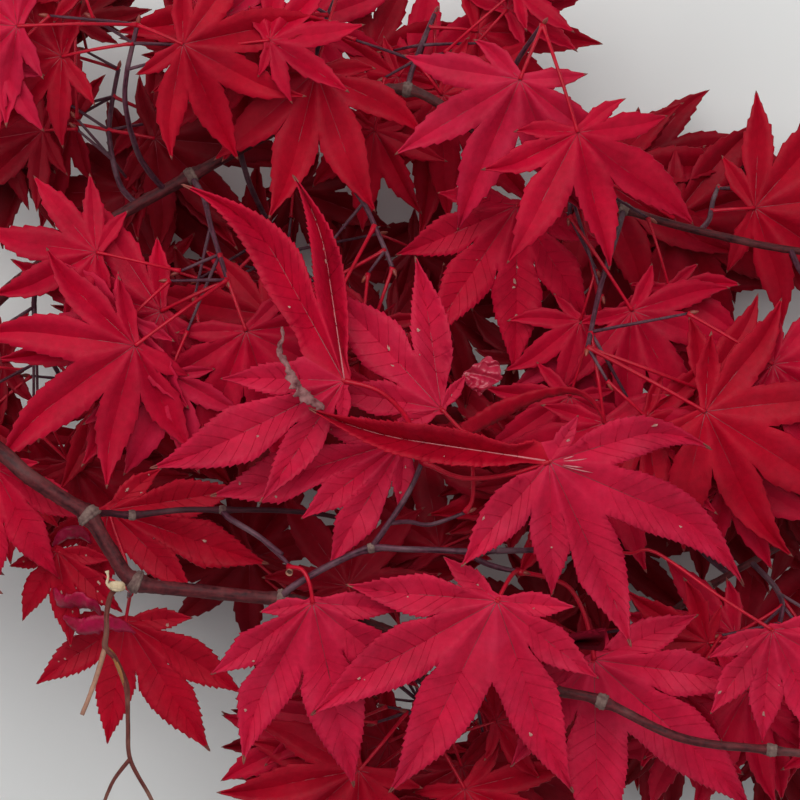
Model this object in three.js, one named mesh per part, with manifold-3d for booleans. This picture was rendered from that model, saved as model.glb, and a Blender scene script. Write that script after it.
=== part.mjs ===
// A cut branch of a Japanese maple in crimson autumn leaf, lying down.
// Millimetres, +Z up. Every rise is given from the level of the foremost leaves.
import * as THREE from 'three';
import { mergeVertices } from 'three/addons/utils/BufferGeometryUtils.js';
import Module from 'manifold-3d';

const wasm = await Module();
wasm.setup();

// Clearances
const JOINT_GAP = 0.3;
const WELD = 1e-4;
const LIMB_CLEARANCE = 7.5;

// Sections of wood
const LIMB_SIDES = 6;
const TWIG_SIDES = 4;
const STALK_SIDES = 3;
const STEEP = 0.9;
const LIMB_STEP = 8;
const TWIG_STEP = 10;
const RING_WIDTH = 2.4;
const RING_SWELL = 0.3;

// Leaf stalks
const STALK_DIAMETER = 1;
const STALK_SHORTEST = 10;
const STALK_LONGEST = 46;
const STALK_SINK = 0.5;
const STALK_ARCH = 0.1;

// Leaf blades
const BLADE_THICKNESS = 1.1;
const BLADE_FOLD = 0.055;
const BLADE_DROOP = 0.13;
const NOTCH_REACH = 1.6;
const SINUS_SHARE = 0.76;
const SINUS_LIMIT = 0.82;
const LOBE_WIDEST = 0.46;
const LOBE_HALF_WIDTH = 0.15;
const LOBE_BROADEST = 52;
const GAP_FILL = 0.9;
const WIDE_TURN = Math.PI / 2.2;
const FULL_TURN = 360;
const PLAIN_LOBE = { rib: [0.45], side: [[0.46, 0.15]] };
const FINE_LOBE = { rib: [0.3, 0.66], side: [[0.44, 0.15], [0.72, 0.09]] };
const LOBE_TURNS = [-114, -78, -39, 0, 39, 78, 114];
const LOBE_SHARES = [0.42, 0.74, 0.94, 1, 0.94, 0.74, 0.42];
const LOBE_TURN_PLAY = 5;
const LOBE_SHARE_PLAY = 0.1;

// The seeded rule by which a spray grows
const DRAW_FACTOR = 16807;
const DRAW_MODULUS = 2147483647;
const LEAF_TRIES = 70;
const LEAF_SPACING = 34;
const HEIGHT_WEIGHT = 3.5;
const SPRAY_DIAMETER = 1.7;
const SPRAY_TAPER = 0.75;
const PAIR_FIRST = 0.42;
const SPREAD_LOW = 0.5;
const SPREAD_HIGH = 1.3;
const AIM_PLAY = 14;
const STALK_RISE = 0.35;
const PITCH_LOW = -24;
const PITCH_HIGH = 10;
const ROLL_PLAY = 22;
const SIZE_PLAY = 0.14;
const MIDDLE_SHARE = 0.35;
const SPACE_WIDTH = 200;
const TEST_SHARES = [0.3, 0.65, 1];
const NEARLY = 1e-6;

// Colours and surfaces
const BARK = { color: 0x5e2f33, roughness: 0.72, metalness: 0 };
const DEAD_BARK = { color: 0x8a6248, roughness: 0.85, metalness: 0 };
const HUSK = { color: 0xd8c7ad, roughness: 0.9, metalness: 0 };
const CRIMSON = { color: 0xa81836, roughness: 0.5, metalness: 0 };
const SHADED = { color: 0x7d0a20, roughness: 0.55, metalness: 0 };

// Limbs: points on the axis as x, y, rise, then the end diameters and the ringed joints
const MAIN_LIMB = {
  name: 'main_limb',
  way: [
    [-122, 1, -2], [-104, -13.5, -2], [-96.5, -20, -1.5], [-86.8, -26.3, -1], [-80.9, -30.2, 0],
    [-75.1, -39.3, 0], [-68.4, -47.3, 0], [-52, -49.7, -1], [-31.2, -52, -2], [-23.9, -53.3, -3],
    [0, -61.6, -6], [20.8, -68.9, -6], [39.5, -75.4, -4], [52.8, -78.5, -1], [73.3, -87.9, 0],
    [96.5, -91, 0], [117, -93, 0],
  ],
  diameters: [4.4, 2],
  joints: [4, 6, 8, 13, 15],
};
const BACK_BOUGH = {
  name: 'back_bough',
  way: [
    [-113, -6, -2], [-117, 8, -16], [-112, 24, -36], [-92, 42, -52], [-58, 62, -57], [-25, 79, -58],
    [2, 86, -58], [28, 70, -58], [62, 53, -57], [95, 44, -57], [112, 41, -57],
  ],
  diameters: [3.8, 2],
  joints: [4, 6, 8],
};
const LOW_BOUGH = {
  name: 'low_bough',
  way: [
    [-10, -58, -4.6], [-5, -65, -20], [7, -76, -42], [30, -80, -54], [58, -70, -57],
    [85, -52, -57], [106, -40, -57],
  ],
  diameters: [3.2, 1.9],
  joints: [3, 5],
};
const FRONT_TWIG = {
  name: 'front_twig',
  way: [
    [-31.2, -52, -2], [-29, -49.4, 0.6], [-23.9, -46, 1.2], [-15.6, -41.6, 1.6], [-7.5, -38.5, 1.6],
    [1, -38.7, 1.4], [10.4, -39, 1], [20.3, -39.5, 0.5], [25, -39.2, 0.2],
  ],
  diameters: [1.9, 1.5],
  joints: [4, 7],
};
const REAR_TWIG = {
  name: 'rear_twig',
  way: [
    [-80.9, -30.2, 0], [-77, -29.6, -6], [-70.2, -30.2, -9], [-57.5, -28.9, -10], [-46.5, -28.9, -10],
    [-33, -29, -10.4], [-20, -30.2, -11.4], [-12.7, -32.2, -12],
  ],
  diameters: [1.9, 1.2],
  joints: [2, 4],
};
const DEAD_TWIG = {
  name: 'dead_twig',
  way: [
    [-71, -47, 0], [-74.6, -50, 2.6], [-75.9, -55, 3.6], [-76, -60, 3.6], [-76.3, -64, 3.6],
    [-73.8, -67, 3], [-71, -74.4, 1.6], [-70.7, -84, 0.6], [-70.2, -93.3, 0], [-65.5, -102.5, -1],
    [-61, -112, -2],
  ],
  diameters: [1.5, 1],
  joints: [4, 6],
};
const DEAD_FORKS = [
  { way: [[-76.3, -64, 3.6], [-79, -73, 4.4], [-82.2, -81.4, 5.4]], diameters: [1.4, 1.2] },
  { way: [[-70.2, -93.3, 0], [-74.5, -99, 0], [-77.5, -106, -0.4]], diameters: [1.1, 0.9] },
];

// The dried bud husk on the limb's second joint
const HUSK_AT = [-73.3, -48.2, 3.8];
const HUSK_RADII = [2.4, 1.5, 1.3];
const HUSK_TURN = -5;
const HUSK_SIDES = 8;
const HUSK_RINGS = 5;

// Leaves that show sharply: foot, slopes along x and y, then each lobe's direction and length and,
// where it is folded or slim, its share of the usual breadth
const LEAF_A = {
  at: [25, -51.7, 9], slope: [-0.03, 0.04],
  lobes: [
    [142, 18], [176, 39, 0.9], [210, 57, 0.9], [243, 58], [289, 55, 0.9], [321, 33], [354, 20],
  ],
};
const LEAF_B = {
  at: [-22.6, -52.5, 3.4], slope: [0.02, 0.1],
  lobes: [[190, 14], [217, 33], [244, 46], [282, 51], [320, 36], [355, 22]],
};
const LEAF_C = {
  at: [38, -15.6, 20], slope: [-0.12, 0.08],
  lobes: [
    [-130, 35], [-88, 35], [-64, 52, 0.9], [-32, 61, 0.85], [5, 42, 0.8], [57, 14],
    [168, 63, 0.55],
  ],
};
const LEAF_D = {
  at: [10.7, -2.3, 6], slope: [0, 0.03],
  lobes: [[54, 11], [97, 40, 0.8], [133, 45], [170, 30], [203, 16]],
};
const LEAF_E = {
  at: [-14.3, 4.9, 12], slope: [-0.04, -0.02],
  lobes: [
    [103, 55, 0.45], [126, 65, 0.75], [178, 32, 0.85], [205, 55, 0.95], [236, 38, 0.8], [268, 12],
  ],
};
const LEAF_F = {
  at: [1.3, -10.4, 2], slope: [-0.1, 0],
  lobes: [[170, 24], [197, 53], [217, 34], [238, 39], [266, 18]],
};
const LEAF_G = {
  at: [-106.6, -17.7, -8], slope: [0.02, 0.04],
  lobes: [[-165, 30], [-130, 38], [-97, 40], [-63, 34], [-29, 29], [6, 12]],
};
const LEAF_H = {
  at: [96, -59.3, 7], slope: [0.02, 0.03],
  lobes: [[203, 18], [234, 27], [265, 30], [297, 35], [331, 33], [5, 20]],
};
const LEAF_I = {
  at: [51, -68.2, -9.5], slope: [0.02, 0.03],
  lobes: [[-160, 20], [-128, 36], [-88, 55], [-42, 60], [-9, 42], [23, 30]],
};
const LEAF_J = {
  at: [-73.5, -59.4, -26], slope: [0, 0.1],
  lobes: [[178, 16], [214, 30], [260, 34], [-59, 42], [-31, 37], [4, 18]],
};
const LEAF_K = {
  at: [-77.5, -29.3, -20], slope: [0, 0.06],
  lobes: [[-150, 22], [-100, 28], [-45, 32], [-20, 45], [8, 36], [40, 18]],
};
const LEAF_L = {
  at: [-91, -40, -18], slope: [0.2, 0.1],
  lobes: [[-160, 14], [-120, 22], [-82, 26], [-45, 24], [-10, 15]],
};
const LEAF_M = {
  at: [32, 53, -42], slope: [0, 0.06],
  lobes: [[170, 22], [203, 36], [236, 44], [270, 46], [303, 38], [335, 24]],
};

// Sprays of leaves whose every leaf is placed: stem, side stems, then stalks and their leaves
const PLACED_SPRAYS = [
  {
    name: 'leaves_centre',
    limb: 'front_twig',
    way: [
      [-7.5, -38.5, 1.6], [-4, -33.5, 2.2], [0, -27.6, 2.6], [3.4, -21.6, 3], [6, -15.3, 3.4],
    ],
    sides: [[[-3, -32, 2.2], [2, -31.6, 0], [8, -32.4, -1], [17.2, -29.2, -1]]],
    leaves: [
      { leaf: LEAF_C, stalk: [[6, -16, 3.4], [16, -20, 10], [28, -19, 17]] },
      { leaf: LEAF_D, stalk: [[17, -29.2, -1], [19, -24.4, 1], [18, -10, 5], [15.6, -7.6, 6]] },
      { leaf: LEAF_E, stalk: [[6, -16, 3.4], [3.1, -7.6, 8], [0, -2.4, 10], [-6, 2.6, 11.6]] },
      { leaf: LEAF_F, stalk: [[6, -16, 3.4], [4, -13.4, 2.4]] },
    ],
  },
  {
    name: 'leaves_low_centre',
    limb: 'front_twig',
    way: [[17.6, -39.4, 0.6], [21.4, -42, 0.8], [26, -43.6, 1], [31, -44.6, 1.2]],
    sides: [],
    leaves: [
      { leaf: LEAF_A, stalk: [[30.6, -44.4, 1.2], [28.6, -45.6, 5]] },
      {
        leaf: LEAF_I,
        stalk: [[30.6, -44.6, 1.2], [37.7, -46, -0.6], [44.2, -49, -2.6], [48.6, -57.2, -6]],
      },
    ],
  },
  {
    name: 'leaves_right',
    limb: 'front_twig',
    way: [[25, -39.2, 0.2], [31, -39.1, 0], [40.3, -39, -1], [53, -39.3, -2]],
    sides: [],
    leaves: [
      { leaf: LEAF_H, stalk: [[52.6, -39.3, -2], [59.8, -39.8, 1], [66.3, -39.5, 3], [82.9, -51, 6]] },
    ],
  },
  {
    name: 'leaves_low_left',
    limb: 'rear_twig',
    way: [[-46.5, -28.9, -10], [-45.2, -30.8, -8.4], [-37.4, -35.4, -5], [-30.7, -40.3, -2]],
    sides: [[[-36, -36.4, -4.6], [-29.2, -42.6, -1], [-28.6, -44.4, 0.6]]],
    leaves: [
      { leaf: LEAF_B, stalk: [[-29, -43.4, 0], [-25.4, -43.9, 3], [-23.4, -47.6, 4]] },
    ],
  },
  {
    name: 'leaves_hanging',
    limb: 'main_limb',
    way: [[-68.4, -47.3, 0], [-69.4, -48.6, -6], [-71, -50, -14], [-72, -52, -20]],
    sides: [],
    leaves: [
      { leaf: LEAF_J, stalk: [[-71.6, -51.4, -19], [-72.6, -55, -24]] },
      { leaf: LEAF_K, stalk: [[-71, -50.4, -15], [-73, -42, -17], [-76, -34, -19]] },
      { leaf: LEAF_L, stalk: [[-71, -50.4, -15], [-78, -47, -18], [-85, -43.4, -19]] },
    ],
  },
];

// Sprays that grow by the seeded rule, each within its own space.
// aim: the way the leaves hang, spread: how far the pairs stand off it, tilt: how far from level
// they lie, pairs: how many pairs the stem bears; low and high: the corners of the space
const RULED_SPRAYS = [
  {
    name: 'leaves_left',
    limb: 'main_limb',
    rule: { seed: 7, aim: 222, spread: 60, size: 44, tilt: 0.6, pairs: 2 },
    way: [[-116, -4, -2], [-117, -9, -7], [-119, -12, -11], [-122, -16, -14]],
    low: [-162, -72, -30],
    high: [-101, 22, -5],
    placed: [LEAF_G],
  },
  {
    name: 'leaves_left_middle',
    limb: 'back_bough',
    rule: { seed: 196, aim: 225, spread: 50, size: 50, tilt: 0.5, pairs: 3 },
    way: [[-56, 63, -57], [-54, 56, -48], [-51, 47, -32], [-46, 32, -22]],
    low: [-114, -24, -31],
    high: [-3, 62, -9],
    placed: [],
  },
  {
    name: 'leaves_upper_left',
    limb: 'back_bough',
    rule: { seed: 256, aim: 262, spread: 60, size: 42, tilt: 0.5, pairs: 3 },
    way: [[-68, 56, -56], [-71, 66, -46], [-74, 82, -30], [-70, 100, -22]],
    low: [-136, 63, -31],
    high: [-5, 134, -8],
    placed: [],
  },
  {
    name: 'leaves_upper_right',
    limb: 'back_bough',
    rule: { seed: 129, aim: 290, spread: 80, size: 46, tilt: 0.5, pairs: 3 },
    way: [[24, 73, -58], [27, 82, -48], [32, 92, -32], [38, 100, -22]],
    low: [-3, 35, -31],
    high: [84, 134, -8],
    placed: [],
  },
  {
    name: 'leaves_right_middle',
    limb: 'back_bough',
    rule: { seed: 360, aim: 320, spread: 50, size: 50, tilt: 0.5, pairs: 3 },
    way: [[62, 53, -57], [59, 44, -48], [54, 30, -34], [50, 14, -22]],
    low: [22, -48, -31],
    high: [142, 34, -8],
    placed: [],
  },
  {
    name: 'leaves_top',
    limb: 'back_bough',
    rule: { seed: 292, aim: 262, spread: 62, size: 46, tilt: 0.5, pairs: 3 },
    way: [[-20, 81, -58], [-22, 88, -50], [-22, 98, -42], [-17, 110, -38]],
    low: [-80, 44, -51],
    high: [19, 138, -32],
    placed: [],
  },
  {
    name: 'leaves_centre_back',
    limb: 'back_bough',
    rule: { seed: 13, aim: 262, spread: 58, size: 44, tilt: 0.5, pairs: 3 },
    way: [[-25, 79, -58], [-20, 68, -54], [-10, 54, -47], [-2, 36, -40]],
    low: [-74, -28, -51],
    high: [19, 43, -32],
    placed: [],
  },
  {
    name: 'leaves_upper_middle',
    limb: 'back_bough',
    rule: { seed: 323, aim: 262, spread: 56, size: 42, tilt: 0.5, pairs: 3 },
    way: [[44, 61, -57], [46, 65, -50], [47, 62, -44], [46, 50, -40]],
    low: [20, -30, -51],
    high: [97, 104, -32],
    placed: [LEAF_M],
  },
  {
    name: 'leaves_far_right',
    limb: 'back_bough',
    rule: { seed: 73, aim: 290, spread: 60, size: 40, tilt: 0.5, pairs: 2 },
    way: [[106, 42, -57], [110, 36, -52], [114, 28, -45], [114, 14, -40]],
    low: [98, -38, -51],
    high: [156, 92, -32],
    placed: [],
  },
  {
    name: 'leaves_right_low',
    limb: 'low_bough',
    rule: { seed: 156, aim: 268, spread: 54, size: 40, tilt: 0.8, pairs: 3 },
    way: [[98, -44, -57], [102, -50, -50], [104, -56, -40], [101, -64, -32]],
    low: [52, -116, -49],
    high: [148, -39, -18],
    placed: [],
  },
  {
    name: 'leaves_low_middle',
    limb: 'low_bough',
    rule: { seed: 479, aim: 262, spread: 62, size: 42, tilt: 0.8, pairs: 3 },
    way: [[24, -79.4, -51], [20, -83, -47], [12, -86, -40], [2, -84, -32]],
    low: [-50, -138, -49],
    high: [51, -52, -17],
    placed: [],
  },
  {
    name: 'leaves_deep_left',
    limb: 'back_bough',
    rule: { seed: 256, aim: 236, spread: 76, size: 46, tilt: 0.8, pairs: 3 },
    way: [[-100, 36, -46], [-101, 31, -58], [-102, 20, -70], [-96, 6, -80]],
    low: [-152, -48, -96],
    high: [-44, 40, -62],
    placed: [],
  },
  {
    name: 'leaves_deep_upper_left',
    limb: 'back_bough',
    rule: { seed: 113, aim: 262, spread: 70, size: 48, tilt: 0.8, pairs: 3 },
    way: [[-76, 53, -55], [-78, 60, -64], [-82, 76, -74], [-80, 94, -82]],
    low: [-138, 41, -96],
    high: [-28, 138, -62],
    placed: [],
  },
  {
    name: 'leaves_deep_top',
    limb: 'back_bough',
    rule: { seed: 271, aim: 275, spread: 66, size: 46, tilt: 0.8, pairs: 3 },
    way: [[2, 86, -58], [3, 91, -66], [6, 100, -74], [10, 110, -82]],
    low: [-27, 44, -96],
    high: [60, 140, -62],
    placed: [],
  },
  {
    name: 'leaves_far_upper_right',
    limb: 'back_bough',
    rule: { seed: 242, aim: 310, spread: 96, size: 44, tilt: 0.8, pairs: 2 },
    way: [[84, 46.4, -57], [86, 50, -64], [88, 56, -72], [90, 60, -80]],
    low: [61, 19, -96],
    high: [152, 92, -62],
    placed: [],
  },
  {
    name: 'leaves_deep_right',
    limb: 'low_bough',
    rule: { seed: 134, aim: 110, spread: 96, size: 48, tilt: 0.8, pairs: 3 },
    way: [[88, -50, -57], [84, -42, -64], [74, -30, -72], [60, -20, -80]],
    low: [0, -58, -96],
    high: [140, 18, -62],
    placed: [],
  },
  {
    name: 'leaves_deep_low',
    limb: 'low_bough',
    rule: { seed: 337, aim: 256, spread: 82, size: 46, tilt: 0.8, pairs: 3 },
    way: [[30, -80, -54], [26, -83, -64], [16, -86, -72], [6, -86, -80]],
    low: [-60, -138, -96],
    high: [60, -59, -61],
    placed: [],
  },
  {
    name: 'leaves_floor_centre',
    limb: 'back_bough',
    rule: { seed: 26, aim: 262, spread: 84, size: 50, tilt: 0.9, pairs: 3 },
    way: [[-44, 69, -57], [-42, 60, -72], [-36, 48, -94], [-26, 34, -108]],
    low: [-110, -36, -134],
    high: [32, 70, -97],
    placed: [],
  },
  {
    name: 'leaves_floor_right',
    limb: 'low_bough',
    rule: { seed: 395, aim: 272, spread: 80, size: 48, tilt: 0.9, pairs: 3 },
    way: [[60, -69, -57], [62, -71, -72], [66, -72, -94], [72, -66, -108]],
    low: [10, -128, -134],
    high: [148, -37, -97],
    placed: [],
  },
  {
    name: 'leaves_floor_top',
    limb: 'back_bough',
    rule: { seed: 351, aim: 290, spread: 80, size: 48, tilt: 0.9, pairs: 2 },
    way: [[38, 63, -57], [40, 66, -72], [42, 74, -94], [46, 82, -106]],
    low: [33, 4, -134],
    high: [138, 96, -97],
    placed: [],
  },
];

// A seeded series of numbers between 0 and 1
class Draw {
  constructor(seed) {
    this.state = seed * DRAW_FACTOR;
    this.next();
  }

  next() {
    this.state = (this.state * DRAW_FACTOR) % DRAW_MODULUS;
    return this.state / DRAW_MODULUS;
  }

  between(low, high) {
    return low + (high - low) * this.next();
  }
}

function vector(point) {
  return new THREE.Vector3(point[0], point[1], point[2]);
}

// A smooth line through the points, with stations about one step apart
function smoothLine(way, step) {
  const points = way.map(vector);
  const line = [points[0].clone()];
  for (let k = 0; k + 1 < points.length; k += 1) {
    const from = points[k];
    const to = points[k + 1];
    const before = points[Math.max(k - 1, 0)];
    const after = points[Math.min(k + 2, points.length - 1)];
    const count = Math.max(1, Math.ceil(from.distanceTo(to) / step));
    for (let i = 1; i <= count; i += 1) {
      line.push(bend(before, from, to, after, i / count));
    }
  }
  return line;
}

function bend(before, from, to, after, t) {
  const enter = to.clone().sub(before).multiplyScalar(0.5);
  const leave = after.clone().sub(from).multiplyScalar(0.5);
  const s = t * t;
  const c = s * t;
  return from.clone().multiplyScalar(2 * c - 3 * s + 1)
    .addScaledVector(to, 3 * s - 2 * c)
    .addScaledVector(enter, c - 2 * s + t)
    .addScaledVector(leave, c - s);
}

// Distance run along a line up to each of its stations, as a share of the whole
function shares(line) {
  const run = [0];
  for (let i = 1; i < line.length; i += 1) {
    run.push(run[i - 1] + line[i].distanceTo(line[i - 1]));
  }
  return run.map((length) => length / run[run.length - 1]);
}

// Radii that taper from end to end and swell at the ringed joints
function radiiAlong(line, limb) {
  const [first, last] = limb.diameters;
  const joints = (limb.joints || []).map((k) => vector(limb.way[k]));
  return shares(line).map((share, i) => {
    const plain = (first + (last - first) * share) / 2;
    const swell = joints.reduce((most, joint) => {
      const off = line[i].distanceTo(joint) / RING_WIDTH;
      return Math.max(most, Math.exp(-off * off));
    }, 0);
    return plain * (1 + RING_SWELL * swell);
  });
}

// A closed tube of the given radii round a line
function tube(line, radii, sides) {
  const positions = [];
  const index = [];
  let across = new THREE.Vector3();
  line.forEach((centre, i) => {
    const ahead = line[Math.min(i + 1, line.length - 1)];
    const behind = line[Math.max(i - 1, 0)];
    const along = ahead.clone().sub(behind).normalize();
    if (i === 0) {
      across = Math.abs(along.z) < STEEP ? new THREE.Vector3(0, 0, 1) : new THREE.Vector3(1, 0, 0);
    }
    across.addScaledVector(along, -across.dot(along)).normalize();
    const up = along.clone().cross(across);
    for (let k = 0; k < sides; k += 1) {
      const turn = (2 * Math.PI * k) / sides;
      const rim = centre.clone()
        .addScaledVector(across, radii[i] * Math.cos(turn))
        .addScaledVector(up, radii[i] * Math.sin(turn));
      positions.push(rim.x, rim.y, rim.z);
    }
  });
  for (let i = 0; i + 1 < line.length; i += 1) {
    for (let k = 0; k < sides; k += 1) {
      const a = i * sides + k;
      const b = i * sides + ((k + 1) % sides);
      index.push(a, b, b + sides, a, b + sides, a + sides);
    }
  }
  const end = (line.length - 1) * sides;
  for (let k = 1; k + 1 < sides; k += 1) {
    index.push(0, k + 1, k, end, end + k, end + k + 1);
  }
  return geometryOf(positions, index);
}

function geometryOf(positions, index) {
  const geometry = new THREE.BufferGeometry();
  geometry.setAttribute('position', new THREE.Float32BufferAttribute(positions, 3));
  geometry.setIndex(index);
  return geometry;
}

// The solid of a closed surface
function solidOf(geometry) {
  const plain = geometry.clone();
  plain.deleteAttribute('normal');
  plain.deleteAttribute('uv');
  const merged = mergeVertices(plain, WELD);
  return new wasm.Manifold(new wasm.Mesh({
    numProp: 3,
    vertProperties: merged.attributes.position.array,
    triVerts: new Uint32Array(merged.index.array),
  }));
}

// The largest single body of a solid, with loose scraps and sealed hollows left out
function mainBody(solid) {
  const bodies = solid.decompose();
  return bodies.reduce((most, body) => (body.volume() > most.volume() ? body : most));
}

function unite(solids) {
  return solids.reduce((whole, solid) => whole.add(solid));
}

// A point of a leaf: its plane droops outward from the foot
function onLeaf(leaf, u, v, lift) {
  const drop = (BLADE_DROOP * (u * u + v * v)) / leaf.size;
  return leaf.foot.clone()
    .addScaledVector(leaf.ahead, u)
    .addScaledVector(leaf.aside, v)
    .addScaledVector(leaf.above, lift - drop);
}

// A leaf whose lobes are given one by one as seen from above
function placedLeaf(spec) {
  return {
    foot: vector(spec.at),
    ahead: new THREE.Vector3(1, 0, spec.slope[0]),
    aside: new THREE.Vector3(0, 1, spec.slope[1]),
    above: new THREE.Vector3(0, 0, 1),
    size: Math.max(...spec.lobes.map((lobe) => lobe[1])),
    lobes: spec.lobes,
    detail: FINE_LOBE,
  };
}

// A leaf whose middle lobe points along the yaw, and whose lobes are drawn by the rule
function ruledLeaf(foot, yaw, pitch, roll, size, draw) {
  const y = THREE.MathUtils.degToRad(yaw);
  const p = THREE.MathUtils.degToRad(pitch);
  const r = THREE.MathUtils.degToRad(roll);
  const ahead = new THREE.Vector3(Math.cos(y) * Math.cos(p), Math.sin(y) * Math.cos(p), Math.sin(p));
  const level = new THREE.Vector3(-Math.sin(y), Math.cos(y), 0);
  const face = ahead.clone().cross(level);
  const aside = level.clone().multiplyScalar(Math.cos(r)).addScaledVector(face, Math.sin(r));
  const above = face.clone().multiplyScalar(Math.cos(r)).addScaledVector(level, -Math.sin(r));
  const lobes = LOBE_TURNS.map((turn, i) => [
    turn + LOBE_TURN_PLAY * draw.between(-1, 1),
    size * LOBE_SHARES[i] * (1 + LOBE_SHARE_PLAY * draw.between(-1, 1)),
  ]);
  return { foot, ahead, aside, above, size, lobes, detail: PLAIN_LOBE };
}

// The spot in the leaf's plane at a share of a lobe's length and an offset to its left
function inLobe(lobe, share, offset) {
  const turn = THREE.MathUtils.degToRad(lobe[0]);
  const run = lobe[1] * share;
  const shift = Math.min(lobe[1], LOBE_BROADEST) * (lobe[2] ?? 1) * offset;
  return [
    run * Math.cos(turn) - shift * Math.sin(turn),
    run * Math.sin(turn) + shift * Math.cos(turn),
  ];
}

// Half the turn between a lobe and its neighbour, in radians
function halfTurn(lobe, next) {
  return THREE.MathUtils.degToRad(((next[0] - lobe[0] + 2 * FULL_TURN) % FULL_TURN) / 2);
}

// The bottom of the cut between two lobes; the cut at the stalk reaches nearly to the foot
function sinus(lobe, next, isNotch) {
  const way = THREE.MathUtils.degToRad(lobe[0]) + halfTurn(lobe, next);
  const even = (SINUS_SHARE * lobe[1] * next[1]) / (lobe[1] + next[1]);
  const most = SINUS_LIMIT * LOBE_WIDEST * Math.min(lobe[1], next[1]);
  const reach = isNotch ? NOTCH_REACH : Math.min(even, most);
  return [reach * Math.cos(way), reach * Math.sin(way)];
}

// The half width at a station of a lobe, kept clear of the neighbouring lobe
function sideOffset(station, half) {
  const most = half < WIDE_TURN ? GAP_FILL * station[0] * Math.tan(half) : LOBE_HALF_WIDTH;
  return Math.min(station[1], most);
}

// A blade: upper and lower faces share the outline and stand apart along the ribs
function blade(leaf) {
  const { rib, side } = leaf.detail;
  const count = leaf.lobes.length;
  const positions = [];
  const index = [];
  const put = (spot, lift) => {
    const p = onLeaf(leaf, spot[0], spot[1], lift);
    positions.push(p.x, p.y, p.z);
    return positions.length / 3 - 1;
  };
  const half = BLADE_THICKNESS / 2;
  const fold = -BLADE_FOLD * leaf.size;
  const foot = [put([0, 0], half), put([0, 0], -half)];
  const cuts = leaf.lobes.map((lobe, i) => {
    const next = leaf.lobes[(i + 1) % count];
    return put(sinus(lobe, next, i === count - 1), 0);
  });
  leaf.lobes.forEach((lobe, i) => {
    const before = leaf.lobes[(i + count - 1) % count];
    const next = leaf.lobes[(i + 1) % count];
    const tip = put(inLobe(lobe, 1, 0), 0);
    const ribs = rib.map((share) => {
      const spot = inLobe(lobe, share, 0);
      const sink = fold * share * (1 - share) * 4 * (lobe[1] / leaf.size);
      return [put(spot, half + sink), put(spot, -half + sink)];
    });
    const left = side.map((s) => put(inLobe(lobe, s[0], sideOffset(s, halfTurn(lobe, next))), 0));
    const right = side.map((s) => put(inLobe(lobe, s[0], -sideOffset(s, halfTurn(before, lobe))), 0));
    const inner = [foot, ...ribs];
    const outerLeft = [cuts[i], ...left];
    const outerRight = [cuts[(i + count - 1) % count], ...right];
    for (let k = 0; k + 1 < inner.length; k += 1) {
      for (const face of [0, 1]) {
        const a = inner[k][face];
        const b = inner[k + 1][face];
        pushFace(index, face, a, b, outerLeft[k]);
        pushFace(index, face, b, outerLeft[k + 1], outerLeft[k]);
        pushFace(index, face, a, outerRight[k], b);
        pushFace(index, face, b, outerRight[k], outerRight[k + 1]);
      }
    }
    const last = inner.length - 1;
    for (const face of [0, 1]) {
      pushFace(index, face, inner[last][face], tip, outerLeft[last]);
      pushFace(index, face, inner[last][face], outerRight[last], tip);
    }
  });
  return geometryOf(positions, index);
}

function pushFace(index, face, a, b, c) {
  if (face === 0) {
    index.push(a, b, c);
  } else {
    index.push(a, c, b);
  }
}

// A stalk from a node of the stem to the foot of its leaf, its end sunk in the blade
function stalkTo(leaf, way) {
  const points = [...way.map(vector), leaf.foot.clone()];
  const enter = leaf.foot.clone().sub(points[points.length - 2]).normalize();
  points.push(leaf.foot.clone().addScaledVector(enter, STALK_SINK));
  return points;
}

function twigSolid(way, diameters, sides) {
  const line = smoothLine(way, TWIG_STEP);
  const radii = radiiAlong(line, { way, diameters });
  return solidOf(tube(line, radii, sides));
}

function stalkSolid(points) {
  const radii = points.map(() => STALK_DIAMETER / 2);
  return solidOf(tube(points, radii, STALK_SIDES));
}

// Axes and radii of the limbs and of the sprays' stems, kept for the tests of the rule
const limbLines = new Map();
const stemLines = new Map();

function limbSolid(limb) {
  const line = smoothLine(limb.way, LIMB_STEP);
  const radii = radiiAlong(line, limb);
  limbLines.set(limb.name, { line, radii });
  return solidOf(tube(line, radii, LIMB_SIDES));
}

// The limb with the clearance of a joint all round it and past both ends
function limbSpace(limb) {
  const { line, radii } = limbLines.get(limb.name);
  const longer = line.map((p) => p.clone());
  const last = longer.length - 1;
  const back = line[0].clone().sub(line[1]).setLength(JOINT_GAP);
  const on = line[last].clone().sub(line[last - 1]).setLength(JOINT_GAP);
  longer[0].add(back);
  longer[last].add(on);
  return solidOf(tube(longer, radii.map((radius) => radius + JOINT_GAP), LIMB_SIDES));
}

// The station on a limb's axis nearest to a point
function rootOn(name, point) {
  const { line } = limbLines.get(name);
  const wanted = vector(point);
  return line.reduce((best, p) => (p.distanceTo(wanted) < best.distanceTo(wanted) ? p : best));
}

// Spots by which the rule tests a leaf: its foot, and along each lobe out to the tip
function testSpots(leaf) {
  const spots = [leaf.foot];
  for (const lobe of leaf.lobes) {
    for (const share of TEST_SHARES) {
      const [u, v] = inLobe(lobe, share, 0);
      spots.push(onLeaf(leaf, u, v, 0));
    }
  }
  return spots;
}

function insideSpace(spots, low, high) {
  return spots.every((p) => p.x > low[0] && p.x < high[0]
    && p.y > low[1] && p.y < high[1]
    && p.z > low[2] && p.z < high[2]);
}

function clearOfLimbs(spots) {
  for (const { line, radii } of [...limbLines.values(), ...stemLines.values()]) {
    for (let i = 0; i < line.length; i += 1) {
      const reach = radii[i] + LIMB_CLEARANCE;
      if (spots.some((p) => p.distanceTo(line[i]) < reach)) {
        return false;
      }
    }
  }
  return true;
}

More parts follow.
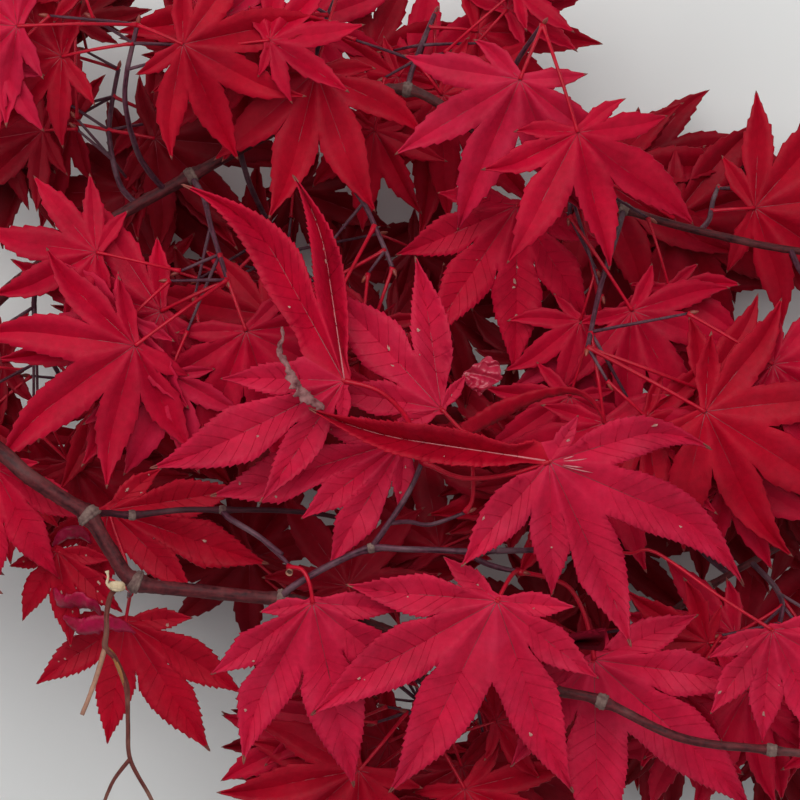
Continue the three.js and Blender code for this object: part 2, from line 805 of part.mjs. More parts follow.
// Distance from the middle of a leaf to the nearest middle of the others; leaves lie flat, so a
// small difference in height keeps two of them as well apart as a wide one across
function roomAround(leaf, others) {
  const middle = onLeaf(leaf, MIDDLE_SHARE * leaf.size, 0, 0);
  return others.reduce((least, other) => {
    const away = onLeaf(other, MIDDLE_SHARE * other.size, 0, 0).sub(middle);
    away.z *= HEIGHT_WEIGHT;
    return Math.min(least, away.length());
  }, SPACE_WIDTH);
}

// One leaf at a node of the stem: of all the tries that keep to the space and clear of the limbs,
// the one with the most room around it, or nothing
function growLeaf(plan, node, side, kept, draw) {
  let best = null;
  let mostRoom = LEAF_SPACING;
  const { aim, spread, tilt } = plan.rule;
  for (let attempt = 0; attempt < LEAF_TRIES; attempt += 1) {
    const off = side * spread * draw.between(SPREAD_LOW, SPREAD_HIGH);
    const yaw = aim + off + AIM_PLAY * draw.between(-1, 1);
    const stalk = draw.between(STALK_SHORTEST, STALK_LONGEST);
    const rise = STALK_RISE * draw.between(-1, 1);
    const size = plan.rule.size * (1 + SIZE_PLAY * draw.between(-1, 1));
    const pitch = tilt * draw.between(PITCH_LOW, PITCH_HIGH);
    const roll = tilt * ROLL_PLAY * draw.between(-1, 1);
    const y = THREE.MathUtils.degToRad(yaw);
    const foot = node.clone().add(new THREE.Vector3(
      stalk * Math.cos(y),
      stalk * Math.sin(y),
      stalk * rise,
    ));
    const leaf = ruledLeaf(foot, yaw, pitch, roll, size, draw);
    const spots = testSpots(leaf);
    if (insideSpace(spots, plan.low, plan.high) && clearOfLimbs(spots)) {
      const room = roomAround(leaf, kept);
      if (room > mostRoom) {
        best = leaf;
        mostRoom = room;
      }
    }
  }
  return best;
}

// The middle of a stalk arches upward
function archedStalk(node, foot) {
  const middle = node.clone().lerp(foot, 0.5);
  middle.z += STALK_ARCH * node.distanceTo(foot);
  return [node.toArray(), middle.toArray()];
}

// The stem of a spray, rooted on its limb
function growStem(plan) {
  const root = rootOn(plan.limb, plan.way[0]);
  const line = smoothLine([root.toArray(), ...plan.way.slice(1)], TWIG_STEP);
  const radii = radiiAlong(line, { diameters: [SPRAY_DIAMETER, SPRAY_DIAMETER * SPRAY_TAPER] });
  stemLines.set(plan.name, { line, radii });
}

// The leaves of a spray, each with the node that its stalk leaves
function growLeaves(plan) {
  const draw = new Draw(plan.rule.seed);
  const { line } = stemLines.get(plan.name);
  const run = shares(line);
  const kept = plan.placed.map((spec) => ({ leaf: placedLeaf(spec), node: line[line.length - 2] }));
  const { pairs } = plan.rule;
  for (let pair = 0; pair <= pairs; pair += 1) {
    const share = PAIR_FIRST + ((1 - PAIR_FIRST) * pair) / pairs;
    const node = line[run.findIndex((value) => value >= share - NEARLY)];
    for (const side of pair === pairs ? [-1, 0, 1] : [-1, 1]) {
      const leaf = growLeaf(plan, node, side, kept.map((other) => other.leaf), draw);
      if (leaf) {
        kept.push({ leaf, node });
      }
    }
  }
  return kept;
}

function ruledSpray(plan) {
  const { line, radii } = stemLines.get(plan.name);
  const solids = [solidOf(tube(line, radii, TWIG_SIDES))];
  for (const { leaf, node } of growLeaves(plan)) {
    solids.push(stalkSolid(stalkTo(leaf, archedStalk(node, leaf.foot))));
    solids.push(solidOf(blade(leaf)));
  }
  return unite(solids);
}

function placedSpray(plan) {
  const thin = SPRAY_DIAMETER * SPRAY_TAPER;
  const solids = [twigSolid(plan.way, [SPRAY_DIAMETER, thin], TWIG_SIDES)];
  for (const side of plan.sides) {
    solids.push(twigSolid(side, [thin, thin], TWIG_SIDES));
  }
  for (const { leaf, stalk } of plan.leaves) {
    const placed = placedLeaf(leaf);
    solids.push(stalkSolid(stalkTo(placed, stalk)));
    solids.push(solidOf(blade(placed)));
  }
  return unite(solids);
}

function huskSolid() {
  const geometry = new THREE.SphereGeometry(1, HUSK_SIDES, HUSK_RINGS);
  geometry.scale(...HUSK_RADII);
  geometry.rotateZ(THREE.MathUtils.degToRad(HUSK_TURN));
  geometry.translate(...HUSK_AT);
  return solidOf(geometry);
}

const group = new THREE.Group();
group.name = 'maple_branch';

function addNode(name, solid, finish) {
  const { vertProperties, triVerts } = mainBody(solid).getMesh();
  const geometry = geometryOf(Array.from(vertProperties), Array.from(triVerts));
  geometry.computeVertexNormals();
  const mesh = new THREE.Mesh(geometry, new THREE.MeshStandardMaterial(finish));
  mesh.name = name;
  group.add(mesh);
}

// Limbs, each cut clear of the one it grows from
addNode('main_limb', limbSolid(MAIN_LIMB), BARK);
const mainSpace = limbSpace(MAIN_LIMB);
const spaces = new Map([['main_limb', mainSpace]]);
for (const limb of [BACK_BOUGH, LOW_BOUGH, FRONT_TWIG, REAR_TWIG]) {
  addNode(limb.name, limbSolid(limb).subtract(mainSpace), BARK);
  spaces.set(limb.name, limbSpace(limb));
}
const deadForks = DEAD_FORKS.map((fork) => twigSolid(fork.way, fork.diameters, TWIG_SIDES));
const deadTwig = unite([limbSolid(DEAD_TWIG), ...deadForks]).subtract(mainSpace);
addNode('dead_twig', deadTwig, DEAD_BARK);
addNode('bud_husk', huskSolid().subtract(mainSpace).subtract(limbSpace(DEAD_TWIG)), HUSK);

// Sprays of leaves, each cut clear of the limb it grows from
for (const plan of PLACED_SPRAYS) {
  addNode(plan.name, placedSpray(plan).subtract(spaces.get(plan.limb)), CRIMSON);
}
RULED_SPRAYS.forEach(growStem);
for (const plan of RULED_SPRAYS) {
  addNode(plan.name, ruledSpray(plan).subtract(spaces.get(plan.limb)), SHADED);
}

// The branch rests on its lowest tips, centred over the origin
const bounds = new THREE.Box3().setFromObject(group);
const centre = bounds.getCenter(new THREE.Vector3());
group.position.set(-centre.x, -centre.y, -bounds.min.z);

export default group;
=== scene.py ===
"""A cut Japanese maple branch in crimson autumn leaf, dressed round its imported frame.

Sizes are millimetres in the branch's own measure: x runs to the right, y up the picture and z
towards the eye, from the level of the foremost leaves. Place turns them into frame metres.
"""
import sys
import logging
import math
from dataclasses import dataclass, field
from enum import Enum
from typing import Callable, Iterable, Sequence

import bmesh
import bpy
import numpy as np
from mathutils import Matrix, Vector, noise


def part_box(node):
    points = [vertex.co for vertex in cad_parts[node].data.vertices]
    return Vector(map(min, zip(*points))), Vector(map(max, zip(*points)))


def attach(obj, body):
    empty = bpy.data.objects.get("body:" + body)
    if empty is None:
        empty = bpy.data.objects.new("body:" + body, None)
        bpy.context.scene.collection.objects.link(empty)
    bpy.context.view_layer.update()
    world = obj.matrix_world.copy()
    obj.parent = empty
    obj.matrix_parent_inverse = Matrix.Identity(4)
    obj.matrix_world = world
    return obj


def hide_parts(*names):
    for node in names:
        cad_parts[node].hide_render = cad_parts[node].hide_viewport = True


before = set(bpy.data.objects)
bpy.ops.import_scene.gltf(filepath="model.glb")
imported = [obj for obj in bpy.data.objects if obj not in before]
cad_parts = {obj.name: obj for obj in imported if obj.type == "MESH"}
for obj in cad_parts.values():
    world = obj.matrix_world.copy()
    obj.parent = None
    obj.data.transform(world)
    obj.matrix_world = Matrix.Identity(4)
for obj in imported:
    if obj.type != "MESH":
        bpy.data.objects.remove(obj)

LOG = logging.getLogger("maple_branch")
BODY = "root"
MM = 0.001
WELD = 0.002
FLOOR_GAP = 0.6
PLACED_STEP = 2
CUT_SHORTEST = 0.12

Point = Sequence[float]
Colour = tuple[float, float, float]
BMesh = bmesh.types.BMesh
Socket = bpy.types.NodeSocket

# The seeded rule by which the sprays grow, as in the part's source
LIMB_CLEARANCE = 7.5
LIMB_SIDES = 6
LIMB_STEP = 8
TWIG_STEP = 10
RING_WIDTH = 2.4
RING_SWELL = 0.3
STALK_DIAMETER = 1.0
STALK_SHORTEST = 10
STALK_LONGEST = 46
STALK_ARCH = 0.1
BLADE_DROOP = 0.13
NOTCH_REACH = 1.6
SINUS_SHARE = 0.76
SINUS_LIMIT = 0.82
LOBE_WIDEST = 0.46
LOBE_BROADEST = 52
LOBE_TURNS = (-114, -78, -39, 0, 39, 78, 114)
LOBE_SHARES = (0.42, 0.74, 0.94, 1, 0.94, 0.74, 0.42)
LOBE_TURN_PLAY = 5
LOBE_SHARE_PLAY = 0.1
DRAW_FACTOR = 16807
DRAW_MODULUS = 2147483647
LEAF_TRIES = 70
LEAF_SPACING = 34
HEIGHT_WEIGHT = 3.5
SPRAY_DIAMETER = 1.7
SPRAY_TAPER = 0.75
PAIR_FIRST = 0.42
SPREAD_LOW = 0.5
SPREAD_HIGH = 1.3
AIM_PLAY = 14
STALK_RISE = 0.35
PITCH_LOW = -24
PITCH_HIGH = 10
ROLL_PLAY = 22
SIZE_PLAY = 0.14
MIDDLE_SHARE = 0.35
SPACE_WIDTH = 200
TEST_SHARES = (0.3, 0.65, 1)
NEARLY = 1e-6

EYE_HEIGHT = 880
# Parts of the picture where the background shows between the leaves: x, y and radius at z = 0
OPENINGS = (
    (92, 96, 24), (66, 96, 16), (112, 84, 12), (-64, 80, 8), (52, 44, 5), (96, 30, 7),
    (-96, -78, 14), (-57, -91, 12), (-44, -60, 5), (-45, -23, 4), (-24, -40, 4), (28, -47, 3),
    (50, -58, 4),
)
# Places of the picture that the leaves close: x and y at z = 0
CLOSED = (
    (-14, 95), (3, 96), (13, 94), (-84, 82), (-79, 62), (-23, 46), (-6, 40), (21, 19), (39, 20),
    (8, -27), (66, -45), (-98, 46), (-34, -32), (-13, -36), (-48, -50), (62, -44),
    (70, -46), (5, -38),
)


class Tint(Enum):
    """The leaf colours dealt out by spray, as linear red, green and blue: partly the leaves' own autumn
    tints, partly painted light and shade, lightest and pinkest on the foremost lit leaves and darker on the
    deeper sprays.
    """

    ROSE = (0.45, 0.007, 0.036)
    CRIMSON = (0.41, 0.0025, 0.023)
    RUBY = (0.35, 0.0015, 0.014)
    GARNET = (0.25, 0.001, 0.010)
    WINE = (0.16, 0.001, 0.006)


@dataclass(frozen=True)
class LimbPlan:
    """One limb: points on its axis, its end diameters and its ringed joints."""

    name: str
    way: tuple[Point, ...]
    diameters: tuple[float, float]
    joints: tuple[int, ...] = ()


@dataclass(frozen=True)
class LobePlan:
    """One lobe: its direction and length, and what sets it apart from a plain one.

    breadth and fold are shares of the usual ones. lean turns the whole lobe to the left, in degrees,
    and hook bends only its tip to the left, as a share of its length.
    """

    turn: float
    length: float
    breadth: float = 1.0
    lean: float = 0.0
    hook: float | None = None
    fold: float = 1.0
    tint: Tint | None = None


def lobes(*rows: tuple) -> tuple[LobePlan, ...]:
    """Lobes from rows of their numbers."""
    return tuple(LobePlan(*row) for row in rows)


@dataclass(frozen=True)
class LeafPlan:
    """A leaf that shows sharply: its foot, its slopes along x and y, and its lobes."""

    at: Point
    slope: tuple[float, float]
    lobes: tuple[LobePlan, ...]


@dataclass(frozen=True)
class PlacedSprayPlan:
    """A spray whose every leaf is placed: its stem, side stems, and leaves with their stalks."""

    name: str
    tint: Tint
    way: tuple[Point, ...]
    sides: tuple[tuple[Point, ...], ...]
    leaves: tuple[tuple[LeafPlan, tuple[Point, ...]], ...]


@dataclass(frozen=True)
class Rule:
    """How a spray grows: seed, way it hangs, spread of its pairs, leaf size, tilt and pairs."""

    seed: int
    aim: float
    spread: float
    size: float
    tilt: float
    pairs: int


@dataclass(frozen=True)
class RuledSprayPlan:
    """A spray that grows by the seeded rule between the low and high corners of its space."""

    name: str
    limb: str
    tint: Tint
    rule: Rule
    way: tuple[Point, ...]
    low: Point
    high: Point
    placed: tuple[LeafPlan, ...] = ()
    more: int = 11


MAIN_LIMB = LimbPlan(
    "main_limb",
    ((-122, 1, -2), (-104, -13.5, -2), (-96.5, -20, -1.5), (-86.8, -26.3, -1), (-80.9, -30.2, 0),
     (-75.1, -39.3, 0), (-68.4, -47.3, 0), (-52, -49.7, -1), (-31.2, -52, -2), (-23.9, -53.3, -3),
     (0, -61.6, -6), (20.8, -68.9, -6), (39.5, -75.4, -4), (52.8, -78.5, -1), (73.3, -87.9, 0),
     (96.5, -91, 0), (117, -93, 0)),
    (4.4, 2),
    (4, 6, 8, 13, 15),
)
BACK_BOUGH = LimbPlan(
    "back_bough",
    ((-113, -6, -2), (-117, 8, -16), (-112, 24, -36), (-92, 42, -52), (-58, 62, -57),
     (-25, 79, -58), (2, 86, -58), (28, 70, -58), (62, 53, -57), (95, 44, -57), (112, 41, -57)),
    (3.8, 2),
    (4, 6, 8),
)
LOW_BOUGH = LimbPlan(
    "low_bough",
    ((-10, -58, -4.6), (-5, -65, -20), (7, -76, -42), (30, -80, -54), (58, -70, -57),
     (85, -52, -57), (106, -40, -57)),
    (3.2, 1.9),
    (3, 5),
)
FRONT_TWIG = LimbPlan(
    "front_twig",
    ((-31.2, -52, -2), (-29, -49.4, 0.6), (-23.9, -46, 1.2), (-15.6, -41.6, 1.6),
     (-7.5, -38.5, 1.6), (1, -38.7, 1.4), (10.4, -39, 1), (20.3, -39.5, 0.5), (25, -39.2, 0.2)),
    (1.9, 1.5),
    (4, 7),
)
REAR_TWIG = LimbPlan(
    "rear_twig",
    ((-80.9, -30.2, 0), (-77, -29.6, -6), (-70.2, -30.2, -9), (-57.5, -28.9, -10),
     (-46.5, -28.9, -10), (-33, -29, -10.4), (-20, -30.2, -11.4), (-12.7, -32.2, -12)),
    (1.9, 1.2),
    (2, 4),
)
DEAD_TWIG = LimbPlan(
    "dead_twig",
    ((-71, -47, 0), (-74.6, -50, 2.6), (-75.9, -55, 3.6), (-76, -60, 3.6), (-76.3, -64, 3.6),
     (-73.8, -67, 3), (-71, -74.4, 1.6), (-70.7, -84, 0.6), (-70.2, -93.3, 0),
     (-65.5, -102.5, -1), (-61, -112, -2)),
    (1.5, 1),
    (4, 6),
)
DEAD_FORKS = (
    LimbPlan("dead_stub", ((-76.3, -64, 3.6), (-79, -73, 4.4), (-82.2, -81.4, 5.4)), (1.4, 1.2)),
    LimbPlan("dead_fork", ((-70.2, -93.3, 0), (-74.5, -99, 0), (-77.5, -106, -0.4)), (1.1, 0.9)),
)
HUSK_AT = (-73.3, -48.2, 3.8)
HUSK_RADII = (2.4, 1.5, 1.3)
HUSK_TURN = -5

LEAF_A = LeafPlan((25, -51.7, 9), (-0.03, 0.04), lobes(
    (142, 18), (176, 39, 0.9), (210, 57, 0.9), (243, 58, 1.0, 1, -0.05), (289, 55, 0.9, 0, 0.05),
    (321, 33), (354, 20)))
LEAF_B = LeafPlan((-22.6, -52.5, 3.4), (0.02, 0.1), lobes(
    (190, 14), (217, 33), (244, 46, 1.0, -3, 0.1), (282, 51), (320, 36), (355, 22)))
LEAF_C = LeafPlan((38, -15.6, 20), (-0.12, 0.08), lobes(
    (-130, 35), (-88, 35), (-64, 52, 0.9), (-32, 61, 0.85, 9, -0.17),
    (5, 42, 0.8, 11, -0.22), (57, 14), (168, 63, 0.55, 3.5, -0.07, 1.5, Tint.RUBY)))
LEAF_D = LeafPlan((10.7, -2.3, 6), (0, 0.03), lobes(
    (54, 11), (97, 40, 0.8, 1, 0.03), (133, 45), (170, 30), (203, 16)))
LEAF_E = LeafPlan((-14.3, 4.9, 12), (-0.04, -0.02), lobes(
    (103, 55, 0.45, -4.5, 0.1, 1.6, Tint.CRIMSON), (126, 65, 0.75, -7, 0.19, 1.2, Tint.CRIMSON),
    (178, 32, 0.85), (205, 55, 0.95, 2, -0.05), (236, 38, 0.8), (268, 12)))
LEAF_F = LeafPlan((1.3, -10.4, 2), (-0.1, 0), lobes(
    (170, 24), (197, 53), (217, 34), (238, 39), (266, 18)))
LEAF_G = LeafPlan((-106.6, -17.7, -8), (0.02, 0.04), lobes(
    (-165, 30), (-130, 38), (-97, 40), (-63, 34), (-29, 29), (6, 12)))
LEAF_H = LeafPlan((96, -59.3, 7), (0.02, 0.03), lobes(
    (203, 18), (234, 27), (265, 30), (297, 35), (331, 33), (5, 20)))
LEAF_I = LeafPlan((51, -68.2, -9.5), (0.02, 0.03), lobes(
    (-160, 20), (-128, 36), (-88, 55), (-42, 60), (-9, 42), (23, 30)))
LEAF_J = LeafPlan((-73.5, -59.4, -26), (0, 0.1), lobes(
    (178, 16), (214, 30), (260, 34), (-59, 42), (-31, 37), (4, 18)))
LEAF_K = LeafPlan((-77.5, -29.3, -20), (0, 0.06), lobes(
    (-150, 22), (-100, 28), (-45, 32), (-20, 45), (8, 36), (40, 18)))
LEAF_L = LeafPlan((-91, -40, -18), (0.2, 0.1), lobes(
    (-160, 14), (-120, 22), (-82, 26), (-45, 24), (-10, 15)))
LEAF_M = LeafPlan((32, 53, -42), (0, 0.06), lobes(
    (170, 22), (203, 36), (236, 44), (270, 46), (303, 38), (335, 24)))

# The foremost sprays take the rose tint, lightest and pinkest, partly as painted light; the lower hanging
# spray takes the darker ruby, partly as painted shade.
PLACED_SPRAYS = (
    PlacedSprayPlan(
        "leaves_centre", Tint.ROSE,
        ((-7.5, -38.5, 1.6), (-4, -33.5, 2.2), (0, -27.6, 2.6), (3.4, -21.6, 3), (6, -15.3, 3.4)),
        (((-3, -32, 2.2), (2, -31.6, 0), (8, -32.4, -1), (17.2, -29.2, -1)),),
        ((LEAF_C, ((6, -16, 3.4), (16, -20, 10), (28, -19, 17))),
         (LEAF_D, ((17, -29.2, -1), (19, -24.4, 1), (18, -10, 5), (15.6, -7.6, 6))),
         (LEAF_E, ((6, -16, 3.4), (3.1, -7.6, 8), (0, -2.4, 10), (-6, 2.6, 11.6))),
         (LEAF_F, ((6, -16, 3.4), (4, -13.4, 2.4)))),
    ),
    PlacedSprayPlan(
        "leaves_low_centre", Tint.ROSE,
        ((17.6, -39.4, 0.6), (21.4, -42, 0.8), (26, -43.6, 1), (31, -44.6, 1.2)),
        (),
        ((LEAF_A, ((30.6, -44.4, 1.2), (28.6, -45.6, 5))),
         (LEAF_I, ((30.6, -44.6, 1.2), (37.7, -46, -0.6), (44.2, -49, -2.6), (48.6, -57.2, -6)))),
    ),
    PlacedSprayPlan(
        "leaves_right", Tint.ROSE,
        ((25, -39.2, 0.2), (31, -39.1, 0), (40.3, -39, -1), (53, -39.3, -2)),
        (),
        ((LEAF_H, ((52.6, -39.3, -2), (59.8, -39.8, 1), (66.3, -39.5, 3), (82.9, -51, 6))),),
    ),
    PlacedSprayPlan(
        "leaves_low_left", Tint.ROSE,
        ((-46.5, -28.9, -10), (-45.2, -30.8, -8.4), (-37.4, -35.4, -5), (-30.7, -40.3, -2)),
        (((-36, -36.4, -4.6), (-29.2, -42.6, -1), (-28.6, -44.4, 0.6)),),
        ((LEAF_B, ((-29, -43.4, 0), (-25.4, -43.9, 3), (-23.4, -47.6, 4))),),
    ),
    PlacedSprayPlan(
        "leaves_hanging", Tint.RUBY,
        ((-68.4, -47.3, 0), (-69.4, -48.6, -6), (-71, -50, -14), (-72, -52, -20)),
        (),
        ((LEAF_J, ((-71.6, -51.4, -19), (-72.6, -55, -24))),
         (LEAF_K, ((-71, -50.4, -15), (-73, -42, -17), (-76, -34, -19))),
         (LEAF_L, ((-71, -50.4, -15), (-78, -47, -18), (-85, -43.4, -19)))),
    ),
)

# Each ruled spray's tint darkens with its depth, down to garnet and wine for the deepest: painted shade
# over the leaves' own autumn tints.
RULED_SPRAYS = (
    RuledSprayPlan(
        "leaves_left", "main_limb", Tint.CRIMSON, Rule(7, 222, 60, 44, 0.6, 2),
        ((-116, -4, -2), (-117, -9, -7), (-119, -12, -11), (-122, -16, -14)),
        (-162, -72, -30), (-101, 22, -5), (LEAF_G,),
    ),
    RuledSprayPlan(
        "leaves_left_middle", "back_bough", Tint.CRIMSON, Rule(196, 225, 50, 50, 0.5, 3),
        ((-56, 63, -57), (-54, 56, -48), (-51, 47, -32), (-46, 32, -22)),
        (-114, -24, -31), (-3, 62, -9),
    ),
    RuledSprayPlan(
        "leaves_upper_left", "back_bough", Tint.CRIMSON, Rule(256, 262, 60, 42, 0.5, 3),
        ((-68, 56, -56), (-71, 66, -46), (-74, 82, -30), (-70, 100, -22)),
        (-136, 63, -31), (-5, 134, -8),
    ),
    RuledSprayPlan(
        "leaves_upper_right", "back_bough", Tint.CRIMSON, Rule(129, 290, 80, 46, 0.5, 3),
        ((24, 73, -58), (27, 82, -48), (32, 92, -32), (38, 100, -22)),
        (-3, 35, -31), (84, 134, -8),
    ),
    RuledSprayPlan(
        "leaves_right_middle", "back_bough", Tint.CRIMSON, Rule(360, 320, 50, 50, 0.5, 3),
        ((62, 53, -57), (59, 44, -48), (54, 30, -34), (50, 14, -22)),
        (22, -48, -31), (142, 34, -8),
    ),
    RuledSprayPlan(
        "leaves_top", "back_bough", Tint.RUBY, Rule(292, 262, 62, 46, 0.5, 3),
        ((-20, 81, -58), (-22, 88, -50), (-22, 98, -42), (-17, 110, -38)),
        (-80, 44, -51), (19, 138, -32),
    ),
    RuledSprayPlan(
        "leaves_centre_back", "back_bough", Tint.GARNET, Rule(13, 262, 58, 44, 0.5, 3),
        ((-25, 79, -58), (-20, 68, -54), (-10, 54, -47), (-2, 36, -40)),
        (-74, -28, -51), (19, 43, -32),
    ),
    RuledSprayPlan(
        "leaves_upper_middle", "back_bough", Tint.CRIMSON, Rule(323, 262, 56, 42, 0.5, 3),
        ((44, 61, -57), (46, 65, -50), (47, 62, -44), (46, 50, -40)),
        (20, -30, -51), (97, 104, -32), (LEAF_M,),
    ),
    RuledSprayPlan(
        "leaves_far_right", "back_bough", Tint.RUBY, Rule(73, 290, 60, 40, 0.5, 2),
        ((106, 42, -57), (110, 36, -52), (114, 28, -45), (114, 14, -40)),
        (98, -38, -51), (156, 92, -32),
    ),
    RuledSprayPlan(
        "leaves_right_low", "low_bough", Tint.CRIMSON, Rule(156, 268, 54, 40, 0.8, 3),
        ((98, -44, -57), (102, -50, -50), (104, -56, -40), (101, -64, -32)),
        (52, -116, -49), (148, -39, -18),
    ),
    RuledSprayPlan(
        "leaves_low_middle", "low_bough", Tint.RUBY, Rule(479, 262, 62, 42, 0.8, 3),
        ((24, -79.4, -51), (20, -83, -47), (12, -86, -40), (2, -84, -32)),
        (-50, -138, -49), (51, -52, -17),
    ),
    RuledSprayPlan(
        "leaves_deep_left", "back_bough", Tint.GARNET, Rule(256, 236, 76, 46, 0.8, 3),
        ((-100, 36, -46), (-101, 31, -58), (-102, 20, -70), (-96, 6, -80)),
        (-152, -48, -96), (-44, 40, -62),
    ),
    RuledSprayPlan(
        "leaves_deep_upper_left", "back_bough", Tint.GARNET, Rule(113, 262, 70, 48, 0.8, 3),
        ((-76, 53, -55), (-78, 60, -64), (-82, 76, -74), (-80, 94, -82)),
        (-138, 41, -96), (-28, 138, -62),
    ),
    RuledSprayPlan(
        "leaves_deep_top", "back_bough", Tint.RUBY, Rule(271, 275, 66, 46, 0.8, 3),
        ((2, 86, -58), (3, 91, -66), (6, 100, -74), (10, 110, -82)),
        (-27, 44, -96), (60, 140, -62),
    ),
    RuledSprayPlan(
        "leaves_far_upper_right", "back_bough", Tint.GARNET, Rule(242, 310, 96, 44, 0.8, 2),
        ((84, 46.4, -57), (86, 50, -64), (88, 56, -72), (90, 60, -80)),
        (61, 19, -96), (152, 92, -62),
    ),
    RuledSprayPlan(
        "leaves_deep_right", "low_bough", Tint.GARNET, Rule(134, 110, 96, 48, 0.8, 3),
        ((88, -50, -57), (84, -42, -64), (74, -30, -72), (60, -20, -80)),
        (0, -58, -96), (140, 18, -62),
    ),
    RuledSprayPlan(
        "leaves_deep_low", "low_bough", Tint.GARNET, Rule(337, 256, 82, 46, 0.8, 3),
        ((30, -80, -54), (26, -83, -64), (16, -86, -72), (6, -86, -80)),
        (-60, -138, -96), (60, -59, -61),
    ),
    RuledSprayPlan(
        "leaves_floor_centre", "back_bough", Tint.WINE, Rule(26, 262, 84, 50, 0.9, 3),
        ((-44, 69, -57), (-42, 60, -72), (-36, 48, -94), (-26, 34, -108)),
        (-110, -36, -134), (32, 70, -97),
    ),
    RuledSprayPlan(
        "leaves_floor_right", "low_bough", Tint.WINE, Rule(395, 272, 80, 48, 0.9, 3),
        ((60, -69, -57), (62, -71, -72), (66, -72, -94), (72, -66, -108)),
        (10, -128, -134), (148, -37, -97),
    ),
    RuledSprayPlan(
        "leaves_floor_top", "back_bough", Tint.WINE, Rule(351, 290, 80, 48, 0.9, 2),
        ((38, 63, -57), (40, 66, -72), (42, 74, -94), (46, 82, -106)),
        (33, 4, -134), (138, 96, -97),
    ),
)


class Draw:
    """A seeded series of numbers between 0 and 1."""

    def __init__(self, seed: int) -> None:
        """Starts the series, and throws its first number away."""
        self.state = seed * DRAW_FACTOR
        self.next()

    def next(self) -> float:
        """The next number, between 0 and 1."""
        self.state = (self.state * DRAW_FACTOR) % DRAW_MODULUS
        return self.state / DRAW_MODULUS

    def between(self, low: float, high: float) -> float:
        """The next number, between low and high."""
        return low + (high - low) * self.next()

    def one_of(self, things: Sequence) -> object:
        """One of some things."""
        return things[int(self.between(0, len(things) - 0.01))]


def smooth_line(way: Sequence[Point], step: float) -> np.ndarray:
    """A smooth line through some points.

    Args:
        way: the points.
        step: the distance between stations, about.
    Returns:
        The stations, one row each.
    """
    points = [np.array(p, float) for p in way]
    line = [points[0]]
    for k in range(len(points) - 1):
        start, end = points[k], points[k + 1]
        before = points[max(k - 1, 0)]
        after = points[min(k + 2, len(points) - 1)]
        count = max(1, math.ceil(math.dist(start, end) / step))
        for i in range(1, count + 1):
            t = i / count
            s, c = t * t, t * t * t
            enter = (end - before) * 0.5
            leave = (after - start) * 0.5
            line.append(start * (2 * c - 3 * s + 1) + end * (3 * s - 2 * c)
                        + enter * (c - 2 * s + t) + leave * (c - s))
    return np.array(line)


def run_along(line: np.ndarray) -> np.ndarray:
    """The distance run along a line up to each of its stations."""
    return np.concatenate([[0.0], np.cumsum(np.linalg.norm(np.diff(line, axis=0), axis=1))])


def share_along(line: np.ndarray) -> np.ndarray:
    """The share of a line run up to each of its stations."""
    run = run_along(line)
    return run / run[-1]


def node_at(line: np.ndarray, wanted: float) -> np.ndarray:
    """The first station of a line at a wanted share of its run, or past it."""
    return line[int(np.argmax(share_along(line) >= wanted - NEARLY))]


def away_from(line: np.ndarray, point: Point) -> np.ndarray:
    """How far each station of a line is from a point."""
    return np.linalg.norm(line - np.array(point, float), axis=1)


def nearest(line: np.ndarray, point: Point) -> int:
    """Which station of a line is nearest to a point."""
    return int(np.argmin(away_from(line, point)))


def heading(way: float, rise: float) -> np.ndarray:
    """A step of 1 on the level in a direction in radians, and its rise."""
    return np.array([math.cos(way), math.sin(way), rise])


def vector(point: Point) -> Vector:
    """A point or a direction as a Vector."""
    return Vector([float(c) for c in point])


def tapered(line: np.ndarray, diameters: tuple[float, float]) -> np.ndarray:
    """Radii that taper evenly from end to end of a line."""
    run = run_along(line)
    first, last = diameters
    return (first + (last - first) * run / run[-1]) / 2


def swelling(off: np.ndarray, height: float, reach: float) -> np.ndarray:
    """A rounded swelling of a height where off is 0, which ends a reach or two away."""
    return height * np.exp(-((off / reach) ** 2))


def axis_of(plan: LimbPlan, step: float, swell: float) -> tuple[np.ndarray, np.ndarray]:
    """A limb's axis with its radii.

    Args:
        plan: the limb.
        step: the distance between stations, about.
        swell: how much wider a ringed joint is, as a share.
    Returns:
        The stations, and the radius at each.
    """
    line = smooth_line(plan.way, step)
    most = np.zeros(len(line))
    for k in plan.joints:
        off = away_from(line, plan.way[k]) / RING_WIDTH
        most = np.maximum(most, np.exp(-off * off))
    return line, tapered(line, plan.diameters) * (1 + swell * most)


@dataclass
class Leaf:
    """A leaf in the branch's measure: its foot, its plane and its lobes."""

    foot: np.ndarray
    ahead: np.ndarray
    aside: np.ndarray
    above: np.ndarray
    size: float
    lobes: list[LobePlan]
    sharp: bool = False

    def on(self, u: float, v: float, lift: float) -> np.ndarray:
        """A point of the leaf, whose plane droops outward from the foot."""
        drop = (BLADE_DROOP * (u * u + v * v)) / self.size
        return self.foot + self.ahead * u + self.aside * v + self.above * (lift - drop)

    def middle(self) -> np.ndarray:
        """The middle of the leaf, by which leaves are kept apart."""
        return self.on(MIDDLE_SHARE * self.size, 0, 0)

    def spots(self) -> np.ndarray:
        """The spots by which the rule tests the leaf: its foot, and along each lobe to the tip.

        Returns:
            The spots, one row each.
        """
        spots = [self.foot]
        for lobe in self.lobes:
            way = math.radians(lobe.turn)
            for share in TEST_SHARES:
                run = lobe.length * share
                spots.append(self.on(run * math.cos(way), run * math.sin(way), 0))
        return np.array(spots)


def placed_leaf(plan: LeafPlan) -> Leaf:
    """A leaf whose lobes are given one by one as seen from above.

    Args:
        plan: its foot, slope and lobes.
    Returns:
        The leaf.
    """
    return Leaf(
        foot=np.array(plan.at, float),
        ahead=np.array([1, 0, plan.slope[0]]),
        aside=np.array([0, 1, plan.slope[1]]),
        above=np.array([0.0, 0.0, 1.0]),
        size=max(lobe.length for lobe in plan.lobes),
        lobes=list(plan.lobes),
        sharp=True,
    )


